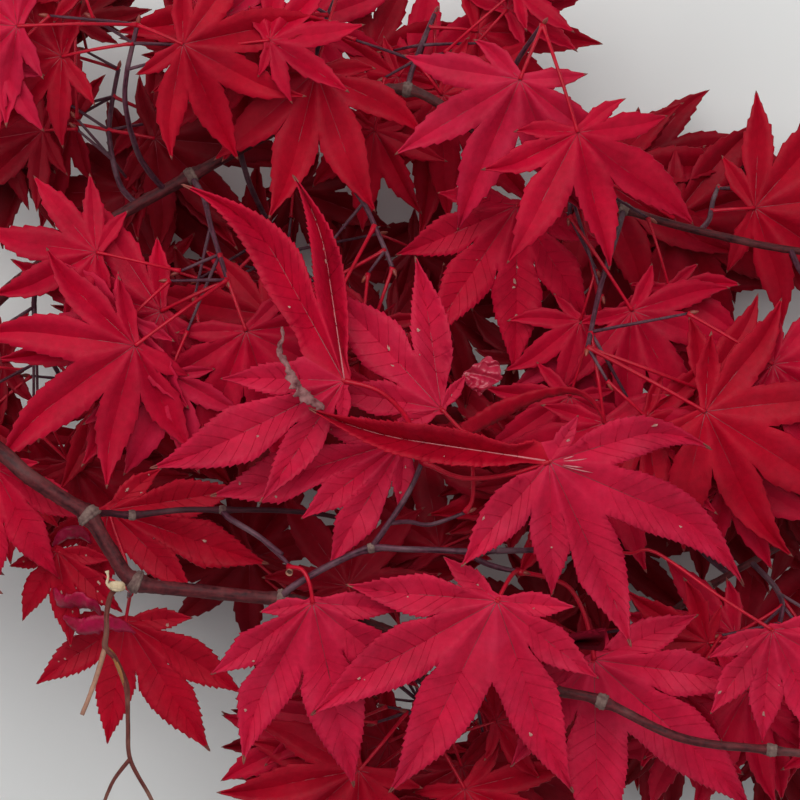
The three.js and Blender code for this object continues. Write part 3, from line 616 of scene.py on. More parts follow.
def ruled_leaf(foot: np.ndarray, turns: Point, size: float, draw: Draw) -> Leaf:
    """A leaf whose lobes are drawn by the rule.

    Args:
        foot: where its stalk ends.
        turns: yaw, pitch and roll in degrees; the middle lobe points along the yaw.
        size: the length of the middle lobe.
        draw: the spray's series.
    Returns:
        The leaf.
    """
    y, p, r = (math.radians(turn) for turn in turns)
    ahead = np.array([math.cos(y) * math.cos(p), math.sin(y) * math.cos(p), math.sin(p)])
    level = np.array([-math.sin(y), math.cos(y), 0.0])
    face = np.cross(ahead, level)
    drawn = []
    for turn, share in zip(LOBE_TURNS, LOBE_SHARES):
        lobe_turn = turn + LOBE_TURN_PLAY * draw.between(-1, 1)
        length = size * share * (1 + LOBE_SHARE_PLAY * draw.between(-1, 1))
        drawn.append(LobePlan(lobe_turn, length))
    return Leaf(
        foot=foot,
        ahead=ahead,
        aside=level * math.cos(r) + face * math.sin(r),
        above=face * math.cos(r) - level * math.sin(r),
        size=size,
        lobes=drawn,
    )


@dataclass
class Wood:
    """The axes and radii of the limbs and stems, by which leaves are kept clear."""

    lines: dict[str, np.ndarray] = field(default_factory=dict)
    radii: dict[str, np.ndarray] = field(default_factory=dict)

    def add(self, name: str, line: np.ndarray, radii: np.ndarray) -> None:
        """Keeps one axis with its radii."""
        self.lines[name] = line
        self.radii[name] = radii

    def root_on(self, name: str, point: Point) -> np.ndarray:
        """The station on a limb's axis nearest to a point."""
        line = self.lines[name]
        return line[nearest(line, point)]

    def clear_of(self, spots: np.ndarray) -> bool:
        """Whether every spot keeps its distance from all the wood.

        Args:
            spots: the spots, one row each.
        Returns:
            Whether all are clear.
        """
        stations = np.concatenate(list(self.lines.values()))
        reach = np.concatenate(list(self.radii.values())) + LIMB_CLEARANCE
        away = np.linalg.norm(spots[:, None, :] - stations[None, :, :], axis=2)
        return bool(np.all(away >= reach[None, :]))


@dataclass
class Borne:
    """A leaf with the points that its stalk follows."""

    leaf: Leaf
    stalk: list[np.ndarray]


@dataclass
class Spray:
    """All that grows from one limb within one space."""

    name: str
    tint: Tint
    stems: list[tuple[np.ndarray, np.ndarray]] = field(default_factory=list)
    leaves: list[Borne] = field(default_factory=list)

    def middles(self) -> np.ndarray:
        """The middle of each leaf so far, one row each."""
        return np.array([borne.leaf.middle() for borne in self.leaves]).reshape(-1, 3)


def arched(node: np.ndarray, foot: np.ndarray) -> list[np.ndarray]:
    """The points of a stalk whose middle arches upward.

    Args:
        node: where it leaves the twig.
        foot: where it meets the blade.
    Returns:
        Its three points.
    """
    middle = (node + foot) / 2
    middle[2] += STALK_ARCH * math.dist(node, foot)
    return [node, middle, foot]


def in_opening(spots: np.ndarray) -> bool:
    """Whether any spot shows in one of the openings, seen from the camera.

    Args:
        spots: the spots, one row each.
    Returns:
        Whether one is in an opening.
    """
    near = EYE_HEIGHT / (EYE_HEIGHT - spots[:, 2])
    x, y = spots[:, 0] * near, spots[:, 1] * near
    return any(bool(np.any((x - cx) ** 2 + (y - cy) ** 2 < r * r)) for cx, cy, r in OPENINGS)


@dataclass
class Grower:
    """Grows sprays by the seeded rule, first the source's leaves and then the finer ones.

    The fine fields say how the finer twigs and leaves differ, and the closing ones how a leaf is
    borne at each closed place.
    """

    wood: Wood
    fine_size: float = 0.68
    fine_spacing: float = 19
    fine_tries: int = 60
    fine_stalk: tuple[float, float] = (8, 30)
    fine_diameters: tuple[float, float] = (1.0, 0.7)
    fine_first: float = 0.25
    fine_span: float = 0.7
    fine_spread: tuple[float, float] = (0.3, 1.9)
    fine_twig: tuple[float, float] = (8, 34)
    fine_rise: float = 0.3
    fine_yaw_play: float = 50
    fine_seed_shift: int = 1000
    closing_level: float = -40
    closing_reach: float = 70
    closing_sizes: tuple[float, float] = (28, 37)
    closing_bounds: tuple[float, float] = (150, 130)
    closing_seed: int = 4040
    closing_outward: float = 0.6
    closing_rise: tuple[float, float] = (-15, 9)
    closing_middle: float = 0.4
    closing_pitch: tuple[float, float] = (-14, 2)
    closing_roll: tuple[float, float] = (-9, 9)
    closing_fork: float = 0.55
    closing_sag: tuple[float, float, float] = (0, 0, -1.5)

    def stem(self, plan: RuledSprayPlan) -> None:
        """Grows the stem of a spray, rooted on its limb.

        Args:
            plan: the spray's rule and space.
        """
        root = self.wood.root_on(plan.limb, plan.way[0])
        line = smooth_line([root, *plan.way[1:]], TWIG_STEP)
        self.wood.add(plan.name, line, tapered(line, (SPRAY_DIAMETER, SPRAY_DIAMETER * SPRAY_TAPER)))

    def grow(self, plan: RuledSprayPlan) -> Spray:
        """Grows the leaves of a spray.

        Args:
            plan: the spray's rule and space.
        Returns:
            The spray with its stem, fine twigs and leaves.
        """
        line = self.wood.lines[plan.name]
        spray = Spray(plan.name, plan.tint, [(line, self.wood.radii[plan.name])])
        for leaf_plan in plan.placed:
            leaf = placed_leaf(leaf_plan)
            spray.leaves.append(Borne(leaf, arched(line[-2], leaf.foot)))
        draw = Draw(plan.rule.seed)
        pairs = plan.rule.pairs
        for pair in range(pairs + 1):
            node = node_at(line, PAIR_FIRST + ((1 - PAIR_FIRST) * pair) / pairs)
            for side in (-1, 0, 1) if pair == pairs else (-1, 1):
                leaf = self.best_leaf(plan, node, side, spray, draw)
                if leaf:
                    spray.leaves.append(Borne(leaf, arched(node, leaf.foot)))
        self.grow_finer(plan, spray)
        return spray

    def tried(self, rule: Rule, foot: np.ndarray, yaw: float, size: float, draw: Draw) -> Leaf:
        """One leaf of about a size, tilted at random as far as its spray's rule lets it.

        Args:
            rule: the spray's rule.
            foot: where the leaf's stalk ends.
            yaw: its direction seen from above, in degrees.
            size: about its length.
            draw: the spray's series.
        Returns:
            The leaf.
        """
        size = size * (1 + SIZE_PLAY * draw.between(-1, 1))
        pitch = rule.tilt * draw.between(PITCH_LOW, PITCH_HIGH)
        roll = rule.tilt * ROLL_PLAY * draw.between(-1, 1)
        return ruled_leaf(foot, (yaw, pitch, roll), size, draw)

    def best_leaf(self, plan: RuledSprayPlan, node: np.ndarray, side: int, spray: Spray,
                  draw: Draw) -> Leaf | None:
        """The try with the most room around it, of those that keep to the space and clear of wood.

        Args:
            plan: the spray's rule and space.
            node: where the leaf is borne.
            side: -1, 0 or 1: to one side, straight on, or to the other.
            spray: the leaves so far.
            draw: the spray's series.
        Returns:
            The leaf, or None where no try has room.
        """
        best, most_room, rule = None, float(LEAF_SPACING), plan.rule
        others = spray.middles()
        for _ in range(LEAF_TRIES):
            off = side * rule.spread * draw.between(SPREAD_LOW, SPREAD_HIGH)
            yaw = rule.aim + off + AIM_PLAY * draw.between(-1, 1)
            stalk = draw.between(STALK_SHORTEST, STALK_LONGEST)
            foot = node + stalk * heading(math.radians(yaw), STALK_RISE * draw.between(-1, 1))
            leaf = self.tried(rule, foot, yaw, rule.size, draw)
            room = self.room_for(leaf, plan, others)
            if room > most_room:
                best, most_room = leaf, room
        return best

    def room_for(self, leaf: Leaf, plan: RuledSprayPlan, others: np.ndarray) -> float:
        """The room around a leaf, or 0 where it would leave the space or touch wood.

        Args:
            leaf: the leaf.
            plan: the spray's rule and space.
            others: the middles of the spray's other leaves.
        Returns:
            The room in millimetres.
        """
        spots = leaf.spots()
        inside = np.all((spots > np.array(plan.low)) & (spots < np.array(plan.high)))
        if not inside or not self.wood.clear_of(spots):
            return 0.0
        if not len(others):
            return float(SPACE_WIDTH)
        away = (others - leaf.middle()) * np.array([1, 1, HEIGHT_WEIGHT])
        return min(float(SPACE_WIDTH), float(np.min(np.linalg.norm(away, axis=1))))

    def bear(self, spray: Spray, node: np.ndarray, fork: np.ndarray, leaf: Leaf) -> None:
        """Adds to a spray a fine twig from a node to its fork, with a leaf at the tip.

        Args:
            spray: the spray.
            node: where the twig starts.
            fork: its tip.
            leaf: the leaf.
        """
        twig = smooth_line([node, (node * 2 + fork) / 3 + (0, 0, 1), fork], 3)
        spray.stems.append((twig, tapered(twig, self.fine_diameters)))
        spray.leaves.append(Borne(leaf, arched(fork, leaf.foot)))

    def grow_finer(self, plan: RuledSprayPlan, spray: Spray) -> None:
        """Carries the rule on: fine side twigs with a smaller leaf at each tip.

        Args:
            plan: the spray's rule and space.
            spray: the spray to add to.
        """
        line = self.wood.lines[plan.name]
        draw = Draw(plan.rule.seed + self.fine_seed_shift)
        for k in range(plan.more):
            node = node_at(line, self.fine_first + self.fine_span * k / max(1, plan.more - 1))
            found = self.best_fine(plan, node, 1 if k % 2 else -1, spray, draw)
            if found:
                leaf, fork = found
                self.bear(spray, node, fork, leaf)

    def best_fine(self, plan: RuledSprayPlan, node: np.ndarray, side: int, spray: Spray,
                  draw: Draw) -> tuple[Leaf, np.ndarray] | None:
        """The fine leaf with the most room, with the tip of the twig that bears it.

        Args:
            plan: the spray's rule and space.
            node: where the twig starts.
            side: -1 or 1: to one side or the other.
            spray: the leaves so far.
            draw: the series of the fine leaves.
        Returns:
            The leaf and the twig's tip, or None where no try has room.
        """
        best, most_room, rule = None, self.fine_spacing, plan.rule
        others = spray.middles()
        for _ in range(self.fine_tries):
            way = math.radians(rule.aim + side * rule.spread * draw.between(*self.fine_spread))
            length = draw.between(*self.fine_twig)
            fork = node + length * heading(way, draw.between(-self.fine_rise, self.fine_rise))
            yaw = math.degrees(way) + self.fine_yaw_play * draw.between(-1, 1)
            stalk = draw.between(*self.fine_stalk)
            foot = fork + stalk * heading(math.radians(yaw), self.fine_rise * draw.between(-1, 1))
            leaf = self.tried(rule, foot, yaw, rule.size * self.fine_size, draw)
            if in_opening(np.array([*leaf.spots(), fork, (fork + node) / 2])):
                continue
            room = self.room_for(leaf, plan, others)
            if room > most_room:
                best, most_room = (leaf, fork), room
        return best

    def close(self, sprays: Sequence[Spray]) -> None:
        """Bears one more leaf at each closed place of the picture, from the nearest back spray.

        Args:
            sprays: the ruled sprays.
        """
        draw = Draw(self.closing_seed)
        back = [spray for spray in sprays if self.wood.lines[spray.name][-1][2] < self.closing_level]
        for x, y in CLOSED:
            reached = []
            for spray in back:
                line = self.wood.lines[spray.name]
                scale = (EYE_HEIGHT - line[:, 2]) / EYE_HEIGHT
                off = np.hypot(line[:, 0] - x * scale, line[:, 1] - y * scale)
                i = int(np.argmin(off))
                spot = np.array([x * scale[i], y * scale[i], line[i][2]])
                reached.append((float(off[i]), spray, line[i], spot))
            off, spray, node, spot = min(reached, key=lambda entry: entry[0])
            leaf = self.closing_leaf(node, spot, draw)
            if leaf and off < self.closing_reach:
                fork = node + (leaf.foot - node) * self.closing_fork + self.closing_sag
                self.bear(spray, node, fork, leaf)

    def closing_leaf(self, node: np.ndarray, spot: np.ndarray, draw: Draw) -> Leaf | None:
        """The first try at a leaf over a spot that keeps clear of wood and openings.

        Args:
            node: where its twig starts.
            spot: where its middle is about to be.
            draw: the series of the closing leaves.
        Returns:
            The leaf, or None where no try keeps clear.
        """
        for _ in range(self.fine_tries):
            is_outward = draw.next() < self.closing_outward
            out = math.atan2(spot[1] - node[1], spot[0] - node[0]) if is_outward else 0.0
            yaw = out + math.pi * draw.between(-0.5, 0.5)
            size = draw.between(*self.closing_sizes)
            back = -self.closing_middle * size
            rise = draw.between(*self.closing_rise)
            foot = spot + np.array([back * math.cos(yaw), back * math.sin(yaw), rise])
            turns = (math.degrees(yaw), draw.between(*self.closing_pitch), draw.between(*self.closing_roll))
            leaf = ruled_leaf(foot, turns, size, draw)
            spots = leaf.spots()
            inside = np.all(np.abs(spots[:, :2]) < self.closing_bounds)
            if inside and self.wood.clear_of(spots) and not in_opening(spots):
                return leaf
        return None


def grow_all(wood: Wood) -> list[Spray]:
    """All sprays: the placed ones, then the ruled ones.

    Args:
        wood: the limbs, to which the ruled stems are added.
    Returns:
        The sprays in order.
    """
    grower = Grower(wood)
    for plan in RULED_SPRAYS:
        grower.stem(plan)
    ruled = [grower.grow(plan) for plan in RULED_SPRAYS]
    grower.close(ruled)
    return [*map(placed_spray, PLACED_SPRAYS), *ruled]


def placed_spray(plan: PlacedSprayPlan) -> Spray:
    """A spray whose every leaf is placed.

    Args:
        plan: its ways and leaves.
    Returns:
        The spray.
    """
    thin = SPRAY_DIAMETER * SPRAY_TAPER
    spray = Spray(plan.name, plan.tint)
    for way, thick in ((plan.way, SPRAY_DIAMETER), *((side, thin) for side in plan.sides)):
        line = smooth_line(way, PLACED_STEP)
        spray.stems.append((line, tapered(line, (thick, thick * SPRAY_TAPER))))
    for leaf_plan, way in plan.leaves:
        leaf = placed_leaf(leaf_plan)
        spray.leaves.append(Borne(leaf, [*(np.array(p, float) for p in way), leaf.foot]))
    return spray


STEEP = 0.9


class Spine:
    """A line with the frames that a section keeps as it is carried along."""

    def __init__(self, line: np.ndarray) -> None:
        """Carries the first section's upward side along the line.

        Args:
            line: the stations, one row each.
        """
        self.line = line
        self.frames: list[tuple[np.ndarray, np.ndarray, np.ndarray]] = []
        along = line[1] - line[0]
        along = along / np.linalg.norm(along)
        is_steep = abs(along[2]) >= STEEP
        across = np.array([1.0, 0.0, 0.0]) if is_steep else np.array([0.0, 0.0, 1.0])
        for i in range(len(line)):
            along = line[min(i + 1, len(line) - 1)] - line[max(i - 1, 0)]
            along = along / np.linalg.norm(along)
            across = across - along * float(across @ along)
            across = across / np.linalg.norm(across)
            self.frames.append((along, across, np.cross(along, across)))

    def matrix(self, i: int, radius: float) -> Matrix:
        """The place of a unit circle in the plane of x and y, set square on station i.

        Args:
            i: the station.
            radius: the circle's radius.
        Returns:
            The place.
        """
        along, across, up = self.frames[i]
        columns = (across * radius, up * radius, along * radius, self.line[i])
        return Matrix([[float(c[k]) for c in columns] for k in range(3)] + [[0, 0, 0, 1]])


class Place:
    """The branch's measure in the frame."""

    def __init__(self) -> None:
        """Finds where the measure begins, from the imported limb's lowest corner."""
        line, radii = axis_of(MAIN_LIMB, LIMB_STEP, RING_SWELL)
        spine = Spine(line)
        rims = []
        for i, radius in enumerate(radii):
            _, across, up = spine.frames[i]
            for k in range(LIMB_SIDES):
                turn = 2 * math.pi * k / LIMB_SIDES
                rims.append(line[i] + across * radius * math.cos(turn) + up * radius * math.sin(turn))
        low = np.array(rims).min(axis=0)
        self.start = Vector(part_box("main_limb")[0]) - Vector(low) * MM
        self.matrix = Matrix.Translation(self.start) @ Matrix.Scale(MM, 4)

    def at(self, point: Point) -> Vector:
        """A point of the branch, in frame metres."""
        return self.start + vector(point) * MM


Relief = Callable[[float, float], float]


def sweep(line: np.ndarray, radii: Sequence[float], sides: int, relief: Relief | None = None
          ) -> BMesh:
    """A closed tube: a circle extruded from station to station.

    Args:
        line: the stations of the axis.
        radii: the radius at each station.
        sides: the number of sides.
        relief: the share by which a spot stands out, from its turn and its run along the line.
    Returns:
        The tube, with a UV map of turn share and run.
    """
    bm = bmesh.new()
    uv = bm.loops.layers.uv.new("surface")
    spine = Spine(line)
    run = run_along(line)
    ring = bmesh.ops.create_circle(bm, cap_ends=True, segments=sides, radius=1.0)["verts"]
    edges = list(bm.edges)
    bmesh.ops.transform(bm, matrix=spine.matrix(0, radii[0]), verts=ring)
    rings = [ring]
    last = spine.matrix(0, radii[0])
    for i in range(1, len(line)):
        made = bmesh.ops.extrude_edge_only(bm, edges=edges)["geom"]
        ring = [g for g in made if isinstance(g, bmesh.types.BMVert)]
        kept = set(ring)
        edges = [g for g in made if isinstance(g, bmesh.types.BMEdge) and set(g.verts) <= kept]
        matrix = spine.matrix(i, radii[i])
        bmesh.ops.transform(bm, matrix=matrix @ last.inverted(), verts=ring)
        last = matrix
        rings.append(ring)
    bmesh.ops.contextual_create(bm, geom=edges)
    station = {vert: i for i, verts in enumerate(rings) for vert in verts}
    if relief:
        stand_out(spine, rings, run, relief)
    for face in bm.faces:
        face.smooth = len(face.verts) == 4
        turns = [turn_of(spine, station[loop.vert], loop.vert.co) for loop in face.loops]
        if max(turns) - min(turns) > math.pi:
            turns = [turn % (2 * math.pi) for turn in turns]
        for loop, turn in zip(face.loops, turns):
            loop[uv].uv = (turn / (2 * math.pi), run[station[loop.vert]] * MM)
    bmesh.ops.recalc_face_normals(bm, faces=bm.faces[:])
    return bm


def turn_of(spine: Spine, i: int, spot: Vector) -> float:
    """The turn of a spot round station i, in radians from the upward side.

    Args:
        spine: the axis.
        i: the station.
        spot: the spot.
    Returns:
        The turn.
    """
    _, across, up = spine.frames[i]
    out = np.array(spot) - spine.line[i]
    return math.atan2(float(out @ across), float(out @ up))


def stand_out(spine: Spine, rings: Sequence[Sequence[bmesh.types.BMVert]], run: np.ndarray,
              relief: Relief) -> None:
    """Moves each spot of a tube out or in by its relief.

    Args:
        spine: the tube's axis.
        rings: the corners of each station's ring.
        run: the run along the axis at each station.
        relief: the share by which a spot stands out.
    """
    for i, verts in enumerate(rings):
        centre = vector(spine.line[i])
        for vert in verts:
            share = relief(turn_of(spine, i, vert.co), float(run[i]))
            vert.co = centre + (vert.co - centre) * (1 + share)


def shade_smooth(bm: BMesh) -> None:
    """Shades every face smooth."""
    for face in bm.faces:
        face.smooth = True


def move(bm: BMesh, matrix: Matrix) -> None:
    """Moves the whole of a bmesh."""
    bmesh.ops.transform(bm, matrix=matrix, verts=bm.verts[:])


def turned(at: Point, turn: float) -> Matrix:
    """A turn round the vertical in radians, then a move to a point."""
    return Matrix.Translation(vector(at)) @ Matrix.Rotation(turn, 4, "Z")


def aimed(at: Point, aim: Vector) -> Matrix:
    """A turn that makes z point along the aim, then a move to a point."""
    return Matrix.Translation(vector(at)) @ aim.to_track_quat("Z", "Y").to_matrix().to_4x4()


def joined(parts: Iterable[BMesh]) -> BMesh:
    """One bmesh that holds all the parts, which are freed.

    Args:
        parts: the parts.
    Returns:
        The whole.
    """
    whole = bmesh.new()
    for part in parts:
        scrap = bpy.data.meshes.new("scrap")
        part.to_mesh(scrap)
        part.free()
        whole.from_mesh(scrap)
        bpy.data.meshes.remove(scrap)
    return whole


def make_piece(name: str, bm: BMesh, place: Place, materials: Sequence[bpy.types.Material],
               replaced: Sequence[str] = ()) -> None:
    """Sets a finished bmesh into the frame as one named piece.

    Args:
        name: the piece's name.
        bm: its shape in the branch's measure, which is freed.
        place: the branch's measure in the frame.
        materials: its materials in order.
        replaced: the CAD nodes that it stands for.
    """
    move(bm, place.matrix)
    mesh = bpy.data.meshes.new(name)
    bm.to_mesh(mesh)
    bm.free()
    for material in materials:
        mesh.materials.append(material)
    piece = bpy.data.objects.new(name, mesh)
    bpy.context.scene.collection.objects.link(piece)
    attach(piece, BODY)
    if replaced:
        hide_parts(*replaced)
    LOG.info("%s: %d faces", name, len(mesh.polygons))


@dataclass(frozen=True)
class BladeDetail:
    """How finely a blade is made, and how it moves off its plane, in millimetres and shares."""

    columns: int = 3
    border_rows: int = 4
    fewest_teeth: int = 4
    tooth_pitch: float = 1.9
    tooth_depth: float = 0.55
    tooth_play: tuple[float, float] = (0.55, 1.25)
    tooth_lean: float = 0.72
    tooth_slant: float = 0.8
    tooth_full: float = 2.5
    half_width: float = 0.152
    widest: float = LOBE_WIDEST
    pointedness: float = 2.9
    slit: float = 0.97
    slit_below: float = 80
    opening: float = 0.16
    vein_lean: float = 1.14
    fold: float = 0.07
    fold_sharpness: float = 1.15
    quilting: float = 0.16
    quilt_spread: float = 1.25
    rib_reach: float = 0.93
    rib_step: float = 5
    rib_radius: tuple[float, float] = (0.15, 0.17)
    rib_taper: float = 0.72
    rib_sides: int = 5
    side_veins: float = 6.2
    side_vein_run: float = 0.13
    side_vein_end: float = 0.98
    side_vein_play: tuple[float, float] = (0.1, 0.4)
    side_vein_shares: tuple[float, ...] = (0.0, 0.32, 0.64, 0.94)
    side_vein_radii: tuple[float, ...] = (0.1, 0.085, 0.07, 0.04)
    side_vein_lift: float = 0.03
    waviness: float = 1.6
    wave_length: float = 17
    curl_from: float = 0.55
    curl: float = 0.16
    hook: float = 0.1
    thickness: float = 0.34
    dry_tip: float = 0.965


@dataclass
class Lobe:
    """One lobe of a blade, from the foot along x to its tip, with a half turn to each neighbour."""

    turn: float
    length: float
    left: float
    right: float
    reach_left: float
    reach_right: float
    hook: float
    curl: float
    breadth: float
    fold: float
    tint: Tint | None

    def sinus(self, side: int) -> tuple[float, float]:
        """The bottom of the cut on the left (1) or right (-1) side, in the lobe's own plane."""
        half = self.left if side > 0 else self.right
        reach = self.reach_left if side > 0 else self.reach_right
        return reach * math.cos(half), reach * math.sin(half)

    @property
    def cut(self) -> float:
        """How far along the midrib the two cuts beside the lobe end."""
        return max(CUT_SHORTEST * self.length, (self.sinus(1)[0] + self.sinus(-1)[0]) / 2)


def lobes_of(leaf: Leaf, draw: Draw, detail: BladeDetail) -> list[Lobe]:
    """Works out each lobe of a leaf from its direction, its length and its neighbours.

    Args:
        leaf: the leaf.
        draw: the blade's series.
        detail: how finely the blade is made.
    Returns:
        The lobes in the order of the leaf's plan.
    """
    given = leaf.lobes
    count = len(given)
    turns = [plan.turn + plan.lean for plan in given]
    halves = []
    reaches = []
    for i, plan in enumerate(given):
        beside = given[(i + 1) % count]
        halves.append(math.radians(((turns[(i + 1) % count] - turns[i]) % 360) / 2))
        even = SINUS_SHARE * plan.length * beside.length / (plan.length + beside.length)
        most = SINUS_LIMIT * LOBE_WIDEST * min(plan.length, beside.length)
        reaches.append(NOTCH_REACH if i == count - 1 else min(even, most))
    made = []
    for i, plan in enumerate(given):
        hook = detail.hook * draw.between(-1, 1) * (0.4 if leaf.sharp else 1)
        made.append(Lobe(
            turn=math.radians(turns[i]),
            length=plan.length,
            left=halves[i],
            right=halves[i - 1],
            reach_left=reaches[i],
            reach_right=reaches[i - 1],
            hook=hook if plan.hook is None else plan.hook,
            curl=detail.curl * draw.between(-1, 0.6),
            breadth=plan.breadth * (1 if leaf.sharp else draw.between(0.82, 1.02)),
            fold=plan.fold * (1 if leaf.sharp else draw.between(0.6, 1.7)),
            tint=plan.tint,
        ))
    return made


class Blade:
    """The toothed and folded blade of one leaf."""

    def __init__(self, leaf: Leaf, detail: BladeDetail, seed: int, lowest: float, tint: Tint,
                 tints: Sequence[Tint]) -> None:
        """Draws what is particular to this blade.

        Args:
            leaf: its leaf.
            detail: how finely it is made.
            seed: sets it apart from the others.
            lowest: the level that it stays above.
            tint: its colour, but for the lobes that have one of their own.
            tints: the colours of its piece's material slots 1 and on.
        """
        self.leaf = leaf
        self.lowest = lowest
        self.tint = tint
        self.tints = tints
        self.detail = detail
        self.draw = Draw(seed)
        self.shift = Vector((self.draw.between(0, 90), self.draw.between(0, 90), seed % 97))
        self.lobes = lobes_of(leaf, self.draw, detail)

    def lift(self, u: float, v: float) -> float:
        """The slow waves of the whole blade.

        Args:
            u: how far ahead of the foot.
            v: how far to its left.
        Returns:
            How far the blade is raised there.
        """
        d = self.detail
        spot = Vector((u / d.wave_length, v / d.wave_length, 0)) + self.shift
        fade = min(1.0, math.hypot(u, v) / d.wave_length)
        return d.waviness * fade * noise.noise(spot)

    def half_width(self, lobe: Lobe, x: float) -> float:
        """Half the width of a lobe at a distance from the foot, with no teeth.

        Args:
            lobe: the lobe.
            x: the distance.
        Returns:
            Half the width.
        """
        d = self.detail
        share = min(max(x / lobe.length, 1e-3), 1.0)
        rise = (share / d.widest) ** (d.pointedness * d.widest)
        fall = ((1 - share) / (1 - d.widest)) ** (d.pointedness * (1 - d.widest))
        return lobe.breadth * d.half_width * min(lobe.length, LOBE_BROADEST) * rise * fall

    def margin(self, lobe: Lobe, side: int, q: float, tooth: float) -> tuple[float, float]:
        """A spot on the free margin.

        Args:
            lobe: the lobe.
            side: 1 for the left margin, -1 for the right one.
            q: the share of the way from the cut to the tip.
            tooth: how far a tooth stands out here, in millimetres.
        Returns:
            The spot in the lobe's own plane.
        """
        d = self.detail
        x0, y0 = lobe.sinus(side)
        half = lobe.left if side > 0 else lobe.right
        x = x0 + (lobe.length - x0) * q
        y = self.half_width(lobe, x)
        if half < math.radians(d.slit_below):
            y = min(y, d.slit * x * math.tan(half))
        ease = min(1.0, q / d.opening)
        y = y0 + (y - y0) * ease * ease * (3 - 2 * ease)
        out = d.tooth_slant * (tooth * min(1.0, y / d.tooth_full))
        return x + out, (y + out) * side

    def rows(self, lobe: Lobe) -> list[tuple[float, float]]:
        """For each row past the cuts, its share of the free margin and its tooth.

        Args:
            lobe: the lobe.
        Returns:
            The share and the tooth of each row, from the cuts to the tip.
        """
        d = self.detail
        free = lobe.length - (lobe.sinus(1)[0] + lobe.sinus(-1)[0]) / 2
        teeth = max(d.fewest_teeth, round(free / d.tooth_pitch))
        rows = []
        for k in range(teeth):
            if k:
                rows.append((k / teeth, 0.0))
            rows.append(((k + d.tooth_lean) / teeth, d.tooth_depth * self.draw.between(*d.tooth_play)))
        rows.append((1.0, 0.0))
        return rows

    def spot(self, lobe: Lobe, x: float, y: float, lift: float) -> np.ndarray:
        """A spot of a lobe in the branch's measure: hooked and curled towards the tip.

        Args:
            lobe: the lobe.
            x: the distance from the foot along the lobe.
            y: the distance to the left of its middle line.
            lift: how far it is raised off the leaf's plane.
        Returns:
            The spot.
        """
        free = max(0.0, x / lobe.length - self.detail.curl_from) / (1 - self.detail.curl_from)
        y = y + lobe.hook * lobe.length * free * free
        lift = lift + lobe.curl * lobe.length * free * free
        u = x * math.cos(lobe.turn) - y * math.sin(lobe.turn)
        v = x * math.sin(lobe.turn) + y * math.cos(lobe.turn)
        spot = self.leaf.on(u, v, lift + self.lift(u, v))
        spot[2] = max(spot[2], self.lowest)
        return spot

    def rib_sink(self, lobe: Lobe, x: float) -> float:
        """How far the midrib lies under the margins, at a distance from the foot."""
        share = min(1.0, max(0.0, x / lobe.length))
        return lobe.fold * self.detail.fold * lobe.length * 4 * share * (1 - share)

    def rib_at(self, lobe: Lobe, q: float) -> float:
        """The distance from the foot at which the midrib meets a row."""
        return lobe.cut + (lobe.length - lobe.cut) * q ** self.detail.vein_lean

    def sink(self, lobe: Lobe, x: float, share: float) -> float:
        """How far the fold lies under the margins, at a share of the way out from the midrib."""
        return self.rib_sink(lobe, x) * (1 - abs(share)) ** self.detail.fold_sharpness

    def surface(self, lobe: Lobe, x: float, share: float, lift: float) -> np.ndarray:
        """A spot a little over the blade, at a share of the way from the midrib to the margin."""
        return self.spot(lobe, x, share * self.half_width(lobe, x), lift - self.sink(lobe, x, share))

    def lobe_mesh(self, bm: BMesh, lobe: Lobe) -> None:
        """Adds one lobe as a grid whose middle line is the midrib and whose rows are the veins.

        Args:
            bm: the blade so far.
            lobe: the lobe.
        """
        d = self.detail
        rows = self.rows(lobe)
        total = d.border_rows + len(rows)
        slot = 1 + self.tints.index(lobe.tint or self.tint)
        uv = bm.loops.layers.uv["surface"]
        before = set(bm.faces)
        verts = bmesh.ops.create_grid(
            bm, x_segments=total, y_segments=2 * d.columns, size=1.0)["verts"]
        flat = {}
        for vert in verts:
            i = round((vert.co.x + 1) / 2 * total)
            j = round(vert.co.y * d.columns)
            x, y, share, lift = self.grid_spot(lobe, rows, i, j)
            flat[vert] = (x, share * d.half_width * min(lobe.length, LOBE_BROADEST), i / total)
            vert.co = vector(self.spot(lobe, x, y, lift))
        for face in set(bm.faces) - before:
            face.smooth = True
            along = sum(flat[vert][2] for vert in face.verts) / len(face.verts)
            far = sum(flat[vert][0] for vert in face.verts) / len(face.verts)
            is_dry = far > d.dry_tip * lobe.length and along > 0.5
            face.material_index = 0 if is_dry else slot
            for loop in face.loops:
                loop[uv].uv = (flat[loop.vert][0] * MM, flat[loop.vert][1] * MM)
        for edge in {edge for vert in verts for edge in vert.link_edges}:
            if all(abs(flat[vert][1]) < NEARLY for vert in edge.verts):
                edge.smooth = False

    def grid_spot(self, lobe: Lobe, rows: Sequence[tuple[float, float]], i: int, j: int
                  ) -> tuple[float, float, float, float]:
        """The place of one grid corner in a lobe: x, y, its share of the way out, and its lift.

        Args:
            lobe: the lobe.
            rows: its rows past the cuts.
            i: the corner's row, from the foot.
            j: its column, from -columns at the right margin to columns at the left.
        Returns:
            The four measures.
        """
        d = self.detail
        side = 1 if j >= 0 else -1
        share = abs(j) / d.columns
        if i <= d.border_rows:
            step = i / d.border_rows
            x0, y0 = lobe.sinus(side)
            edge_x, edge_y = x0 * step, y0 * step * side
            rib_x = lobe.cut * step
            ridge = 0.0
        else:
            q, tooth = rows[i - d.border_rows - 1]
            edge_x, edge_y = self.margin(lobe, side, q, tooth)
            rib_x = self.rib_at(lobe, q)
            ridge = d.quilting * (0.5 if tooth else -0.5) * (1 - q)
        x = rib_x + (edge_x - rib_x) * share
        y = edge_y * share
        quilt = ridge * math.sin(math.pi * min(1.0, share * d.quilt_spread))
        return x, y, share * side, quilt - self.sink(lobe, rib_x, share)

